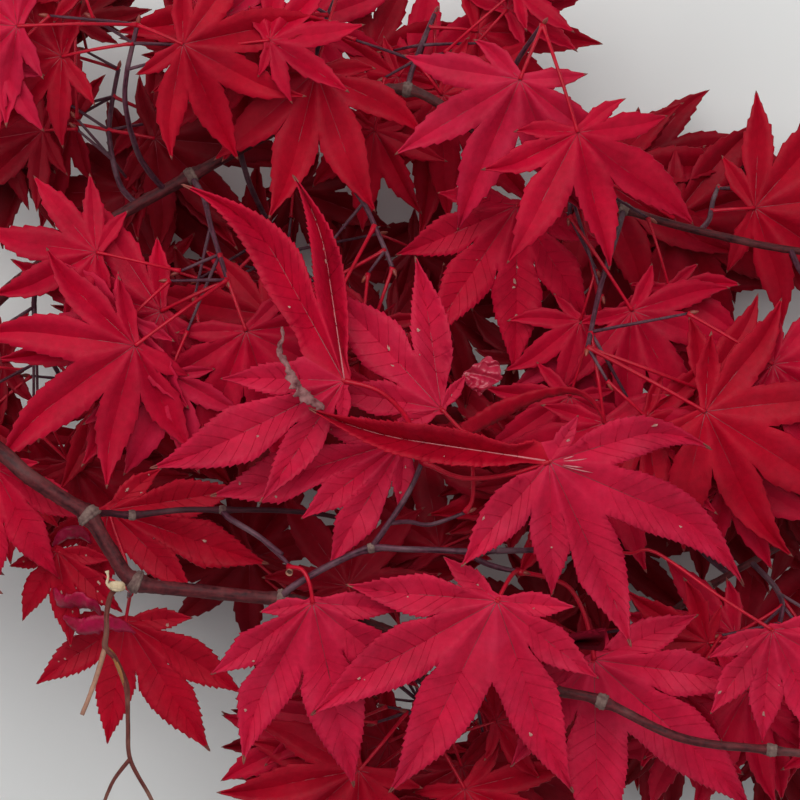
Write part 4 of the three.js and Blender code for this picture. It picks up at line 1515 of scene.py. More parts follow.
    def build(self) -> BMesh:
        """The closed blade: its lobes merged along their borders, then thickened.

        Returns:
            The blade.
        """
        bm = bmesh.new()
        bm.loops.layers.uv.new("surface")
        for lobe in self.lobes:
            self.lobe_mesh(bm, lobe)
        bmesh.ops.remove_doubles(bm, verts=bm.verts[:], dist=WELD)
        bmesh.ops.recalc_face_normals(bm, faces=bm.faces[:])
        above = vector(self.leaf.above)
        if sum(face.normal.dot(above) * face.calc_area() for face in bm.faces) < 0:
            bmesh.ops.reverse_faces(bm, faces=bm.faces[:])
        bmesh.ops.solidify(bm, geom=bm.faces[:], thickness=self.detail.thickness)
        return bm

    def rib(self, lobe: Lobe, raised: float = 0.0) -> BMesh:
        """The midrib of a lobe, a thin tube that stands a little out of both faces.

        Args:
            lobe: its lobe.
            raised: how far it is raised in the fold, in millimetres.
        Returns:
            The closed rib.
        """
        d = self.detail
        reach = d.rib_reach * lobe.length
        count = max(5, round(reach / d.rib_step))
        line = []
        for i in range(count + 1):
            x = reach * i / count
            line.append(self.spot(lobe, x, 0.0, raised - self.rib_sink(lobe, x) - d.thickness / 2))
        thin, more = d.rib_radius
        thick = thin + more * lobe.length / LOBE_BROADEST
        radii = [thick * (1 - d.rib_taper * i / count) for i in range(count + 1)]
        return sweep(np.array(line), radii, d.rib_sides)

    def vein(self, lobe: Lobe, side: int, start: float) -> BMesh:
        """A side vein on the upper face, from the midrib forward to a tooth.

        Args:
            lobe: its lobe.
            side: 1 for the left half of the lobe, -1 for the right one.
            start: the row at which it leaves the midrib, as a share of the free margin.
        Returns:
            The closed vein.
        """
        d = self.detail
        line = []
        for share in d.side_vein_shares:
            q = min(d.side_vein_end, start + d.side_vein_run * share)
            edge_x, edge_y = self.margin(lobe, side, q, 0.0)
            rib_x = self.rib_at(lobe, q)
            x = rib_x + (edge_x - rib_x) * share
            lift = d.side_vein_lift - self.sink(lobe, rib_x, share)
            line.append(self.spot(lobe, x, edge_y * share, lift))
        return sweep(np.array(line), d.side_vein_radii, 4)

    def veins(self) -> list[BMesh]:
        """The side veins of every lobe, each in its lobe's tint.

        Returns:
            The veins.
        """
        made = []
        for lobe in self.lobes:
            index = list(Tint).index(lobe.tint or self.tint)
            count = max(3, round(lobe.length / self.detail.side_veins))
            for k in range(count):
                for side in (-1, 1):
                    start = (k + self.draw.between(*self.detail.side_vein_play)) / (count + 1)
                    vein = self.vein(lobe, side, start)
                    for face in vein.faces:
                        face.material_index = index
                    made.append(vein)
        return made


@dataclass(frozen=True)
class BarkRelief:
    """Ridges, grain and warts of bark, as shares of the limb's radius."""

    ridges: int
    ridge: float
    grain: float
    wart: float
    seed: int
    slow_length: float = 22
    fine_length: float = 5.5
    cell_length: float = 1.7
    wart_from: float = 0.34

    def at(self, turn: float, run: float) -> float:
        """The share by which the bark stands out at a turn and a run along the limb.

        Args:
            turn: the turn round the limb, in radians.
            run: the run along it.
        Returns:
            The share of the radius.
        """
        ring = Vector((math.cos(turn), math.sin(turn), 0)) * 1.6
        slow = noise.noise(ring + Vector((self.seed, 0, run / self.slow_length)))
        fine = noise.noise(ring * 3.2 + Vector((0, self.seed, run / self.fine_length)))
        groove = math.sin(self.ridges * turn + 2.4 * slow)
        cell = noise.noise(ring * 2.5 + Vector((self.seed, 7, run / self.cell_length)))
        wart = max(0.0, cell - self.wart_from) / 0.4
        return self.ridge * groove * (0.6 + 0.4 * slow) + self.grain * fine + self.wart * wart


@dataclass
class WoodPieces:
    """The limb, the boughs and the twigs that bear the sprays, with their bark."""

    plans: tuple[LimbPlan, ...] = (MAIN_LIMB, BACK_BOUGH, LOW_BOUGH, FRONT_TWIG, REAR_TWIG)
    thick_from: float = 3
    sides: int = 18
    thin_sides: int = 12
    step: float = 0.9
    ring_step: float = 0.25
    ring_swell: float = 0.42
    scars: tuple[tuple[float, float], ...] = ((0.9, -0.09), (1.7, 0.07), (2.5, -0.05))
    scar_step: float = 0.55

    def register(self, wood: Wood) -> None:
        """Gives the rule the limbs' axes and radii, as in the part's source."""
        for plan in (*self.plans, DEAD_TWIG):
            wood.add(plan.name, *axis_of(plan, LIMB_STEP, RING_SWELL))

    def is_thick(self, plan: LimbPlan) -> bool:
        """Whether a limb is a bough, not a twig."""
        return plan.diameters[0] > self.thick_from

    def shape(self, plan: LimbPlan, seed: int) -> BMesh:
        """One limb with its relief, ringed at the joints.

        Args:
            plan: the limb.
            seed: sets its bark apart from the others'.
        Returns:
            The closed limb.
        """
        line, radii = axis_of(plan, self.step, self.ring_swell)
        thick = self.is_thick(plan)
        relief = BarkRelief(5 if thick else 3, 0.05, 0.07, 0.16 if thick else 0.12, seed)
        sides = self.sides if thick else self.thin_sides
        return sweep(line, self.with_scars(plan, line, radii), sides, relief.at)

    def with_scars(self, plan: LimbPlan, line: np.ndarray, radii: np.ndarray) -> np.ndarray:
        """Radii with the narrow scars that ring each joint, by their distance from it.

        Args:
            plan: the limb.
            line: the stations of its axis.
            radii: the radius at each station.
        Returns:
            The new radii.
        """
        scarred = np.array(radii)
        for k in plan.joints:
            off = away_from(line, plan.way[k])
            for centre, depth in self.scars:
                scarred *= 1 + swelling(off - centre, depth, self.scar_step)
        return scarred

    def ring(self, joint: Point, plan: LimbPlan, seed: int) -> BMesh:
        """A rough scaly ring that sits round a joint.

        Args:
            joint: the middle of the joint.
            plan: the limb.
            seed: sets its bark apart from the others'.
        Returns:
            The closed ring.
        """
        line, radii = axis_of(plan, self.ring_step, self.ring_swell)
        middle = nearest(line, joint)
        reach = 6 if self.is_thick(plan) else 4
        part = slice(max(0, middle - reach), middle + reach + 1)
        share = np.linspace(-1, 1, len(line[part]))
        bulge = 0.93 + 0.2 * np.sqrt(1 - share ** 2) + 0.05 * np.cos(9 * share)
        relief = BarkRelief(4, 0.03, 0.16, 0.14, seed)
        return sweep(line[part], radii[part] * bulge, self.sides, relief.at)

    def build(self, place: Place, looks: "Looks") -> None:
        """Makes each limb in the place of its node, then the rings of all the joints.

        Args:
            place: the branch's measure in the frame.
            looks: the materials.
        """
        rings = []
        for order, plan in enumerate(self.plans):
            bark = {FRONT_TWIG: looks.twig, REAR_TWIG: looks.dark}.get(plan, looks.bark)
            limb = self.shape(plan, 11 + 7 * order)
            make_piece(f"{plan.name}_bark", limb, place, [bark], [plan.name])
            rings.extend(self.ring(plan.way[k], plan, 41 + 5 * order + k) for k in plan.joints)
        make_piece("joint_rings", joined(rings), place, [looks.ring])


@dataclass
class DeadWood:
    """The bare dead twig with its forks, and the pale dried husk beside the second joint."""

    step: float = 0.7
    sides: int = 10
    arm_radii: tuple[float, float] = (0.66, 0.74)
    neck: tuple[Point, ...] = (
        (-74.9, -48.5, 3.9), (-75.8, -47.4, 4.3), (-75.5, -45.8, 4.7), (-75.8, -44.2, 4.9))
    neck_step: float = 0.4
    neck_sides: int = 8
    neck_radius: float = 0.5
    neck_taper: float = 0.22
    neck_end: tuple[float, float] = (0.34, 0.14)

    def build(self, place: Place, looks: "Looks") -> None:
        """Makes the dead twig, its broken stub, its bare arm and the husk.

        Args:
            place: the branch's measure in the frame.
            looks: the materials.
        """
        relief = BarkRelief(3, 0.07, 0.14, 0.15, 71).at
        stub, fork = DEAD_FORKS
        axes = [axis_of(plan, self.step, RING_SWELL) for plan in (DEAD_TWIG, fork)]
        tubes = [sweep(line, radii, self.sides, relief) for line, radii in axes]
        make_piece("dead_twig_bark", joined(tubes), place, [looks.dead], ["dead_twig"])
        line, radii = axis_of(stub, self.step, RING_SWELL)
        bare = sweep(line, radii, self.sides, relief)
        make_piece("dead_stub_bare", bare, place, [looks.tan])
        line = smooth_line(DEAD_TWIG.way[4:7], self.step)
        arm = sweep(line, np.linspace(*self.arm_radii, len(line)), self.sides, relief)
        make_piece("dead_arm_peeled", arm, place, [looks.amber])
        make_piece("dried_husk", self.husk(), place, [looks.husk], ["bud_husk"])

    def husk(self) -> BMesh:
        """A crumpled papery ball of bud scales, with a thin neck.

        Returns:
            The husk.
        """
        bm = bmesh.new()
        bmesh.ops.create_icosphere(bm, subdivisions=4, radius=1.0)
        for vert in bm.verts:
            out = vert.co.normalized()
            crease = abs(noise.noise(out * 2.3 + Vector((3, 1, 5))))
            fine = noise.noise(out * 6.0)
            vert.co = out * (1.02 - 0.42 * crease + 0.09 * fine)
        bmesh.ops.scale(bm, vec=Vector(HUSK_RADII), verts=bm.verts[:])
        move(bm, turned(HUSK_AT, math.radians(HUSK_TURN)))
        shade_smooth(bm)
        line = smooth_line(self.neck, self.neck_step)
        share = share_along(line)
        radii = self.neck_radius - self.neck_taper * share + swelling(1 - share, *self.neck_end)
        tube = sweep(line, radii, self.neck_sides, BarkRelief(3, 0.1, 0.25, 0.2, 5).at)
        return joined([bm, tube])


# Steeply folded foremost lobes get a raised midrib in the pale finish, a painted highlight along the ridge
# of the fold.
HIGHLIGHT_FOLD = 1.3
HIGHLIGHT_RAISED = 0.14
STUB_SPRAY = 3
OWN_TINT_SHARE = 0.55
DEALS = {
    Tint.ROSE: (Tint.ROSE, Tint.CRIMSON),
    Tint.CRIMSON: (Tint.CRIMSON, Tint.ROSE, Tint.RUBY),
    Tint.RUBY: (Tint.RUBY, Tint.CRIMSON, Tint.GARNET),
    Tint.GARNET: (Tint.GARNET, Tint.RUBY, Tint.WINE),
    Tint.WINE: (Tint.WINE, Tint.GARNET),
}


def dealt(tint: Tint, draw: Draw) -> Tint:
    """The tint of one leaf: mostly its spray's, at times a neighbouring one."""
    own, *others = DEALS[tint]
    return own if draw.next() < OWN_TINT_SHARE else others[int(draw.next() * len(others))]


@dataclass
class Foliage:
    """Blades, midribs, stalks, stems and buds of all the sprays."""

    lowest: float
    detail: BladeDetail = BladeDetail()
    far_detail: BladeDetail = BladeDetail(
        columns=2, border_rows=3, tooth_pitch=3.6, tooth_depth=0.6, half_width=0.145)
    stalk_step: float = 1.6
    stalk_girth: tuple[float, float] = (0.5, 0.62)
    stalk_taper: tuple[float, float] = (1.08, 0.16)
    stalk_clasp: tuple[float, float] = (0.75, 0.05)
    stalk_top: tuple[float, float] = (0.3, 0.06)
    stalk_sides: int = 7
    stem_step: float = 1.5
    stem_sides: int = 9
    bud_size: tuple[float, float] = (0.62, 1.5)
    bud_pinch: float = 0.45

    def blades(self, spray: Spray, order: int, tints: Sequence[Tint]
               ) -> tuple[BMesh, list[Blade]]:
        """All blades of one spray, whose tints are dealt out leaf by leaf.

        Args:
            spray: the spray.
            order: its place among the sprays, which seeds its blades.
            tints: the tints of material slots 1 and on.
        Returns:
            The joined blades, and each blade.
        """
        made, whole = [], []
        draw = Draw(501 + order)
        for k, borne in enumerate(spray.leaves):
            sharp = borne.leaf.sharp
            detail = self.detail if sharp else self.far_detail
            tint = spray.tint if sharp else dealt(spray.tint, draw)
            seed = 31 + 97 * order + 13 * k
            blade = Blade(borne.leaf, detail, seed, self.lowest, tint, tints)
            made.append(blade)
            whole.append(blade.build())
        return joined(whole), made

    def stalk(self, borne: Borne) -> BMesh:
        """A leaf stalk, thickened where it clasps the twig and where it meets the blade.

        Args:
            borne: the leaf with the points of its stalk.
        Returns:
            The closed stalk.
        """
        line = smooth_line(borne.stalk, self.stalk_step)
        share = share_along(line)
        least, more = self.stalk_girth
        radius = STALK_DIAMETER / 2 * (least + more * borne.leaf.size / LOBE_BROADEST)
        base = 1 + swelling(share, *self.stalk_clasp)
        top = 1 + swelling(1 - share, *self.stalk_top)
        start, loss = self.stalk_taper
        return sweep(line, radius * base * top * (start - loss * share), self.stalk_sides)

    def stem(self, line: np.ndarray, radii: np.ndarray, seed: int) -> BMesh:
        """A thin twig of a spray, resampled finely and given a little relief.

        Args:
            line: the stations of its axis.
            radii: the radius at each station.
            seed: sets its bark apart from the others'.
        Returns:
            The closed twig.
        """
        fine = smooth_line(line, self.stem_step)
        fine_radii = np.interp(share_along(fine), share_along(line), radii)
        return sweep(fine, fine_radii, self.stem_sides, BarkRelief(3, 0.04, 0.1, 0.1, seed).at)

    def bud(self, node: np.ndarray, way: np.ndarray) -> BMesh:
        """A pointed bud in the angle of a stalk.

        Args:
            node: where it sits.
            way: the way that it points.
        Returns:
            The closed bud.
        """
        bm = bmesh.new()
        bmesh.ops.create_uvsphere(bm, u_segments=8, v_segments=6, radius=1.0)
        wide, long = self.bud_size
        for vert in bm.verts:
            pinch = 1 - self.bud_pinch * max(0.0, vert.co.z)
            vert.co = Vector((vert.co.x * pinch * wide, vert.co.y * pinch * wide, vert.co.z * long))
        aim = vector(way).normalized()
        move(bm, aimed(vector(node) + aim * long, aim))
        shade_smooth(bm)
        return bm

    def build(self, sprays: Sequence[Spray], place: Place, looks: "Looks") -> list[Blade]:
        """Makes one piece of blades for each spray, then joined stalks, stems, midribs and buds.

        Args:
            sprays: the placed sprays, then the ruled ones.
            place: the branch's measure in the frame.
            looks: the materials.
        Returns:
            The blades that show sharply.
        """
        ribs, highlight_ribs, stalks, stems, buds = [], [], [], [], []
        sharp = []
        for order, spray in enumerate(sprays):
            tints = list(Tint) if order == 0 else DEALS[spray.tint]
            whole, blades = self.blades(spray, order, tints)
            slot = "leaf" if order < len(PLACED_SPRAYS) else "leaf_shaded"
            materials = [looks.dry_tip, *(looks.leaves[tint] for tint in tints)]
            make_piece(spray.name.replace("leaves", "blades"), whole, place, materials,
                       [spray.name])
            for blade in blades:
                for lobe in blade.lobes:
                    # Painted highlight: the midrib of a steeply folded foremost lobe takes the pale finish.
                    if blade.leaf.sharp and lobe.fold > HIGHLIGHT_FOLD:
                        highlight_ribs.append(blade.rib(lobe, HIGHLIGHT_RAISED))
                    else:
                        ribs.append(blade.rib(lobe))
            sharp.extend(blade for blade in blades if blade.leaf.sharp)
            stalks.extend(self.stalk(borne) for borne in spray.leaves)
            stems.extend(self.stem(line, radii, order) for line, radii in spray.stems)
            if order != STUB_SPRAY:
                buds.extend(self.bud(line[-1], line[-1] - line[-2]) for line, _ in spray.stems)
        veins = [vein for blade in sharp for vein in blade.veins()]
        for name, parts, look, slot in (
            ("midribs", ribs, [looks.rib], "leaf"),
            ("painted_highlight_midribs", highlight_ribs, [looks.pale], "leaf"),
            ("side_veins", veins, [looks.leaves[tint] for tint in Tint], "leaf"),
            ("leaf_stalks", stalks, [looks.stalk], "leaf"),
            ("spray_twigs", stems, [looks.twig], "bark"),
            ("twig_buds", buds, [looks.bud], "bark"),
        ):
            make_piece(name, joined(parts), place, look)
        return sharp


STRIP_STEP = 0.5
SCRAP_THICKNESS = 0.28


@dataclass(frozen=True)
class Strip:
    """A thin strip: points it follows, half its width at each, how it leans on edge, how rough it is."""

    way: tuple[Point, ...]
    widths: tuple[float, ...]
    lean: tuple[float, float]
    rough: float

    def build(self, seed: int) -> BMesh:
        """The closed strip, crumpled and ragged as its roughness says.

        Args:
            seed: sets its creases apart from the others'.
        Returns:
            The strip.
        """
        line = smooth_line(self.way, STRIP_STEP)
        share = share_along(line)
        half = np.interp(share, share_along(np.array(self.way, float)), self.widths)
        lean = np.radians(np.interp(share, (0, 1), self.lean))
        forward = np.gradient(line, axis=0)
        bm = bmesh.new()
        last = len(line) - 1
        grid = bmesh.ops.create_grid(bm, x_segments=last, y_segments=4, size=1.0)["verts"]
        for vert in grid:
            i = round((vert.co.x + 1) / 2 * last)
            across = np.cross((0, 0, 1), forward[i])
            across = across / np.linalg.norm(across)
            way = across * math.cos(lean[i]) + np.array((0, 0, math.sin(lean[i])))
            up = np.cross(forward[i], way) / np.linalg.norm(forward[i])
            spot = Vector((i * 0.24, vert.co.y * 1.1, seed))
            ragged = 1 + 2.2 * self.rough * noise.noise(Vector((i * 0.45, 3 * vert.co.y, seed)))
            lift = 2.4 * self.rough * half[i] * noise.noise(spot) - 0.25 * half[i] * abs(vert.co.y)
            vert.co = vector(line[i] + way * half[i] * ragged * vert.co.y + up * lift)
        shade_smooth(bm)
        bmesh.ops.recalc_face_normals(bm, faces=bm.faces[:])
        bmesh.ops.solidify(bm, geom=bm.faces[:], thickness=SCRAP_THICKNESS)
        return bm


DRIED_TIP = Strip(
    ((-19.5, -2.0, 15.0), (-24.0, 0.8, 17.0), (-27.0, 4.6, 18.4), (-28.6, 8.6, 19.2),
     (-30.6, 12.4, 19.0), (-29.8, 16.2, 18.8), (-30.2, 18.6, 18.6)),
    (0.7, 1.5, 1.4, 0.6, 1.1, 0.6, 0.2), (8, 62), 0.5,
)
TURNED_LOBE = Strip(
    ((16.5, -8.2, -1.0), (25.5, -3.2, 1.0), (35.4, 0.9, 3.0), (44.2, 2.3, 3.6), (49.9, -0.5, 3.2),
     (54.1, -7.3, 1.8)),
    (2.0, 2.7, 1.9, 1.2, 0.8, 0.2), (18, 62), 0.11,
)
CURLED_LOBES = (
    Strip(((-92, -50, -19), (-89.5, -53.5, -15.5), (-85, -53.5, -14.5), (-81, -55, -15.5),
           (-79.5, -57.5, -18.5)),
          (0.6, 2.4, 3.0, 2.4, 0.4), (30, 60), 0.13),
    Strip(((-89.5, -57.5, -19.5), (-84.5, -60.2, -16), (-78.5, -59.6, -15), (-73.5, -60.4, -16),
           (-70.2, -62, -19)),
          (0.6, 2.6, 3.0, 2.3, 0.3), (15, 55), 0.13),
    Strip(((-92, -39, -18.5), (-89, -36, -16.5), (-85, -35.3, -16.5), (-82, -38, -19)),
          (0.5, 2.0, 2.0, 0.3), (40, 20), 0.13),
)


@dataclass
class Oddments:
    """Dry flecks, a torn crease, a dried tip, turned and curled lobes, a crumpled scrap, a cut stub."""

    fleck_count: int = 70
    fleck_seed: int = 77
    fleck_sizes: tuple[float, float] = (0.12, 0.4)
    fleck_run: tuple[float, float] = (0.35, 0.85)
    fleck_side: float = 0.8
    fleck_lift: float = 0.02
    fleck_stretch: tuple[float, float] = (1, 2.2)
    fleck_flatness: float = 0.35
    knot_size: float = 0.5
    knot_lift: float = 0.1
    crease_from: float = 3.5
    crease_radii: tuple[float, ...] = (0.05, 0.12, 0.19, 0.16, 0.2, 0.1, 0.04)
    scrap_at: Point = (21.6, 6.4, 2.2)
    scrap_size: tuple[float, float] = (4.9, 3.8)
    scrap_turn: float = 35
    stub_at: Point = (-28.6, -44.5, 0.8)
    stub_aim: Point = (-0.25, -0.5, 0.85)
    stub_radii: tuple[float, float] = (0.62, 0.95)
    stub_length: float = 1.7
    stub_rim: float = 0.3
    stub_hollow: float = 0.45

    def build(self, blades: Sequence[Blade], place: Place, looks: "Looks") -> None:
        """Makes the small things that lie on the foremost leaves.

        Args:
            blades: the blades that show sharply.
            place: the branch's measure in the frame.
            looks: the materials.
        """
        draw = Draw(self.fleck_seed)
        flecks = [self.fleck(self.spot_on(blades, draw), draw) for _ in range(self.fleck_count)]
        feet = [blade.leaf.on(0, 0, self.knot_lift) for blade in blades]
        knots = [self.fleck(foot, draw, self.knot_size) for foot in feet]
        torn = next(blade for blade in blades if blade.leaf.foot[0] == LEAF_C.at[0])
        curled = [strip.build(20 + i) for i, strip in enumerate(CURLED_LOBES)]
        for name, parts, look, slot in (
            ("dry_flecks", flecks, [looks.fleck], "husk"),
            ("blade_knots", knots, [looks.stalk], "leaf"),
            ("torn_crease", self.crease(torn), [looks.pale], "leaf"),
            ("dried_curled_tip", [DRIED_TIP.build(3)], [looks.withered], "leaf"),
            ("turned_lobe", [TURNED_LOBE.build(8)], [looks.leaves[Tint.RUBY]], "leaf"),
            ("curled_lobes", curled, [looks.curled], "leaf"),
            ("crumpled_scrap", [self.scrap()], [looks.glossy], "leaf"),
            ("cut_stub", [self.stub()], [looks.tan, looks.hollow], "bark"),
        ):
            make_piece(name, joined(parts), place, look)

    def spot_on(self, blades: Sequence[Blade], draw: Draw) -> np.ndarray:
        """A spot on one of the blades.

        Args:
            blades: the blades.
            draw: the flecks' series.
        Returns:
            The spot.
        """
        blade = draw.one_of(blades)
        lobe = draw.one_of(blade.lobes)
        x = lobe.length * draw.between(*self.fleck_run)
        return blade.surface(lobe, x, draw.between(-self.fleck_side, self.fleck_side), self.fleck_lift)

    def fleck(self, spot: np.ndarray, draw: Draw, size: float = 0) -> BMesh:
        """One flat, ragged fleck; with no size given, one is drawn.

        Args:
            spot: where it lies.
            draw: the flecks' series.
            size: its size, or 0.
        Returns:
            The fleck.
        """
        bm = bmesh.new()
        bmesh.ops.create_icosphere(bm, subdivisions=2, radius=1.0)
        size = size or draw.between(*self.fleck_sizes)
        shift = Vector((draw.between(0, 50), 0, 0))
        for vert in bm.verts:
            vert.co *= 1 + 0.9 * noise.noise(vert.co * 1.7 + shift)
        stretch = draw.between(*self.fleck_stretch)
        flat = Vector((size * stretch, size, size * self.fleck_flatness))
        bmesh.ops.scale(bm, vec=flat, verts=bm.verts[:])
        move(bm, turned(spot, draw.between(0, math.pi)))
        return bm

    def crease(self, blade: Blade) -> list[BMesh]:
        """Thin pale ridges that fan out where the blade is torn beside its foot.

        Args:
            blade: the torn blade.
        Returns:
            The ridges.
        """
        ridges = []
        last = len(self.crease_radii) - 1
        near = self.crease_from
        for lobe, side, far in ((3, 0.25, 11.5), (3, 0.5, 8.5), (4, -0.75, 9.5), (4, -0.35, 6.5)):
            line = np.array([
                blade.surface(blade.lobes[lobe], near + (far - near) * i / last, side + 0.03 * i, 0.08)
                for i in range(last + 1)
            ])
            ridges.append(sweep(line, self.crease_radii, 6))
        return ridges

    def scrap(self) -> BMesh:
        """A small piece of leaf, crumpled in sharp folds.

        Returns:
            The scrap.
        """
        bm = bmesh.new()
        grid = bmesh.ops.create_grid(bm, x_segments=26, y_segments=22, size=1.0)["verts"]
        wide, high = self.scrap_size
        for vert in grid:
            x, y = vert.co.x, vert.co.y
            round_off = 1 / max(1.0, math.hypot(x, y)) ** 0.6
            ragged = 1 + 0.3 * noise.noise(Vector((x * 1.9, y * 1.9, 4)))
            fold = abs(noise.noise(Vector((x * 1.2 + 0.9 * y, y * 0.6, 1)))) * 6.0
            crease = abs(noise.noise(Vector((x * 2.4, y * 4.2, 6)))) * 1.1
            spot = (x * wide * round_off * ragged, y * high * round_off * ragged, fold + crease - 1.5)
            vert.co = Vector(spot)
        shade_smooth(bm)
        bmesh.ops.solidify(bm, geom=bm.faces[:], thickness=SCRAP_THICKNESS)
        move(bm, turned(self.scrap_at, math.radians(self.scrap_turn)))
        return bm

    def stub(self) -> BMesh:
        """The hollow end of a twig from which a leaf has been shed.

        Returns:
            The stub, whose hollow has the second material, near black: painted shade in the hollow.
        """
        bm = bmesh.new()
        low, high = self.stub_radii
        bmesh.ops.create_cone(
            bm, cap_ends=True, segments=16, radius1=low, radius2=high, depth=self.stub_length)
        top = max(bm.faces, key=lambda face: face.calc_center_median().z)
        rim = bmesh.ops.inset_region(bm, faces=[top], thickness=self.stub_rim)["faces"]
        bmesh.ops.translate(bm, vec=Vector((0, 0, -self.stub_hollow)), verts=top.verts[:])
        # The hollow's floor takes the near-black painted shade.
        top.material_index = 1
        for face in rim:
            face.smooth = False
        move(bm, aimed(self.stub_at, Vector(self.stub_aim)))
        return bm


class Sketch:
    """Adds nodes to one tree and links them."""

    def __init__(self, tree: bpy.types.NodeTree) -> None:
        """Keeps the tree."""
        self.tree = tree

    def add(self, kind: str, **settings: object) -> bpy.types.Node:
        """A new node with its settings.

        Args:
            kind: the node's type.
            settings: its attributes by name.
        Returns:
            The node.
        """
        node = self.tree.nodes.new(kind)
        for key, value in settings.items():
            setattr(node, key, value)
        return node

    def put(self, socket: Socket, value: object) -> None:
        """Links an input to an output, or gives it a value.

        Args:
            socket: the input.
            value: an output, or a plain value.
        """
        if isinstance(value, Socket):
            self.tree.links.new(value, socket)
        else:
            socket.default_value = value

    def feed(self, node: bpy.types.Node, **inputs: object) -> bpy.types.Node:
        """Sets or links a node's inputs, whose names have _ for a space.

        Args:
            node: the node.
            inputs: an output or a plain value for each input.
        Returns:
            The same node.
        """
        for key, value in inputs.items():
            self.put(node.inputs[key.replace("_", " ")], value)
        return node

    def math(self, operation: str, a: object, b: object) -> Socket:
        """The result of a Math node.

        Args:
            operation: the node's operation.
            a: its first value.
            b: its second value.
        Returns:
            The result.
        """
        node = self.add("ShaderNodeMath", operation=operation)
        self.put(node.inputs[0], a)
        self.put(node.inputs[1], b)
        return node.outputs[0]

    def weighed(self, a: Socket, share_a: float, b: Socket, share_b: float) -> Socket:
        """The sum of two values, each by its share."""
        return self.math("ADD", self.math("MULTIPLY", a, share_a), self.math("MULTIPLY", b, share_b))

    def mix(self, factor: Socket, a: object, b: object, kind: str = "RGBA") -> Socket:
        """A mix of two colours, or of two values where the kind is FLOAT.

        Args:
            factor: the share of the second one.
            a: the first one.
            b: the second one.
            kind: RGBA or FLOAT.
        Returns:
            The mix.
        """
        node = self.add("ShaderNodeMix", data_type=kind)
        first, out = {"RGBA": (6, 2), "FLOAT": (2, 0)}[kind]
        self.put(node.inputs[0], factor)
        self.put(node.inputs[first], a)
        self.put(node.inputs[first + 1], b)
        return node.outputs[out]

    def remap(self, value: Socket, span: Point, to: Point) -> Socket:
        """A value moved from one span to another, clamped.

        Args:
            value: the value.
            span: where it comes from.
            to: where it goes.
        Returns:
            The moved value.
        """
        node = self.add("ShaderNodeMapRange", clamp=True)
        self.feed(node, Value=value, From_Min=span[0], From_Max=span[1], To_Min=to[0], To_Max=to[1])
        return node.outputs[0]

    def noise(self, vector: Socket, scale: object, detail: float = 3) -> Socket:
        """The factor of a Noise texture.

        Args:
            vector: the coordinates.
            scale: the texture's scale.
            detail: its detail.
        Returns:
            The factor.
        """
        node = self.add("ShaderNodeTexNoise")
        self.feed(node, Vector=vector, Scale=scale, Detail=detail)
        return node.outputs["Factor" if "Factor" in node.outputs else "Fac"]

    def place(self) -> Socket:
        """The object's own coordinates."""
        return self.add("ShaderNodeTexCoord").outputs["Object"]

    def group(self, tree: bpy.types.NodeTree, **inputs: object) -> bpy.types.Node:
        """A shared group with its inputs."""
        return self.feed(self.add("ShaderNodeGroup", node_tree=tree), **inputs)

    def bump(self, height: Socket, strength: float, distance: float) -> Socket:
        """The normal of a Bump node."""
        node = self.add("ShaderNodeBump")
        return self.feed(node, Height=height, Strength=strength, Distance=distance).outputs[0]


def new_group(name: str, inputs: dict[str, float | None], outputs: Sequence[str]
              ) -> tuple[Sketch, bpy.types.Node, bpy.types.Node]:
    """An empty shader node group with its sockets.

    Args:
        name: the group's name.
        inputs: the default of each input, None for a vector.
        outputs: the values that it gives.
    Returns:
        The group's sketch, its input node and its output node.
    """
    tree = bpy.data.node_groups.new(name, "ShaderNodeTree")
    for label, default in inputs.items():
        kind = "NodeSocketVector" if default is None else "NodeSocketFloat"
        socket = tree.interface.new_socket(label, in_out="INPUT", socket_type=kind)
        if default is not None:
            socket.default_value = default
    for label in outputs:
        tree.interface.new_socket(label, in_out="OUTPUT", socket_type="NodeSocketFloat")
    return Sketch(tree), tree.nodes.new("NodeGroupInput"), tree.nodes.new("NodeGroupOutput")


def mottle_group() -> bpy.types.NodeTree:
    """Slow and fine colour changes, as one factor about 0.5, from object coordinates.

    Returns:
        The node group.
    """
    sketch, given, out = new_group(
        "mottle", {"Vector": None, "Slow": 40.0, "Fine": 500.0, "Share": 0.35}, ["Factor"])
    slow = sketch.noise(given.outputs["Vector"], given.outputs["Slow"], 2)
    fine = sketch.noise(given.outputs["Vector"], given.outputs["Fine"], 4)
    sketch.feed(out, Factor=sketch.mix(given.outputs["Share"], slow, fine, "FLOAT"))
    return sketch.tree


def streak_group() -> bpy.types.NodeTree:
    """Streaks along a limb, a factor and a height, from its UV map of turn share and run.

    Returns:
        The node group.
    """
    sketch, given, out = new_group(
        "bark_streaks", {"Vector": None, "Object": None, "Around": 9.0, "Along": 120.0},
        ["Factor", "Height"])
    parts = sketch.feed(sketch.add("ShaderNodeSeparateXYZ"), Vector=given.outputs["Vector"])
    around = sketch.math("MULTIPLY", parts.outputs["X"], given.outputs["Around"])
    along = sketch.math("MULTIPLY", parts.outputs["Y"], given.outputs["Along"])
    stretched = sketch.feed(sketch.add("ShaderNodeCombineXYZ"), X=around, Y=along)
    streak = sketch.noise(stretched.outputs[0], 1.0, 4)
    grain = sketch.noise(given.outputs["Object"], 900, 4)
    cells = sketch.feed(sketch.add("ShaderNodeTexVoronoi"), Vector=given.outputs["Object"], Scale=700.0)
    pits = sketch.math("MULTIPLY", cells.outputs["Distance"], 0.2)
    height = sketch.math("SUBTRACT", sketch.weighed(streak, 0.7, grain, 0.5), pits)
    sketch.feed(out, Factor=sketch.weighed(streak, 0.65, grain, 0.35), Height=height)
    return sketch.tree


def solid_colour(colour: Colour, factor: float = 1.0) -> tuple[float, float, float, float]:
    """A colour with full alpha, made lighter or darker."""
    return (*(min(1.0, part * factor) for part in colour), 1.0)


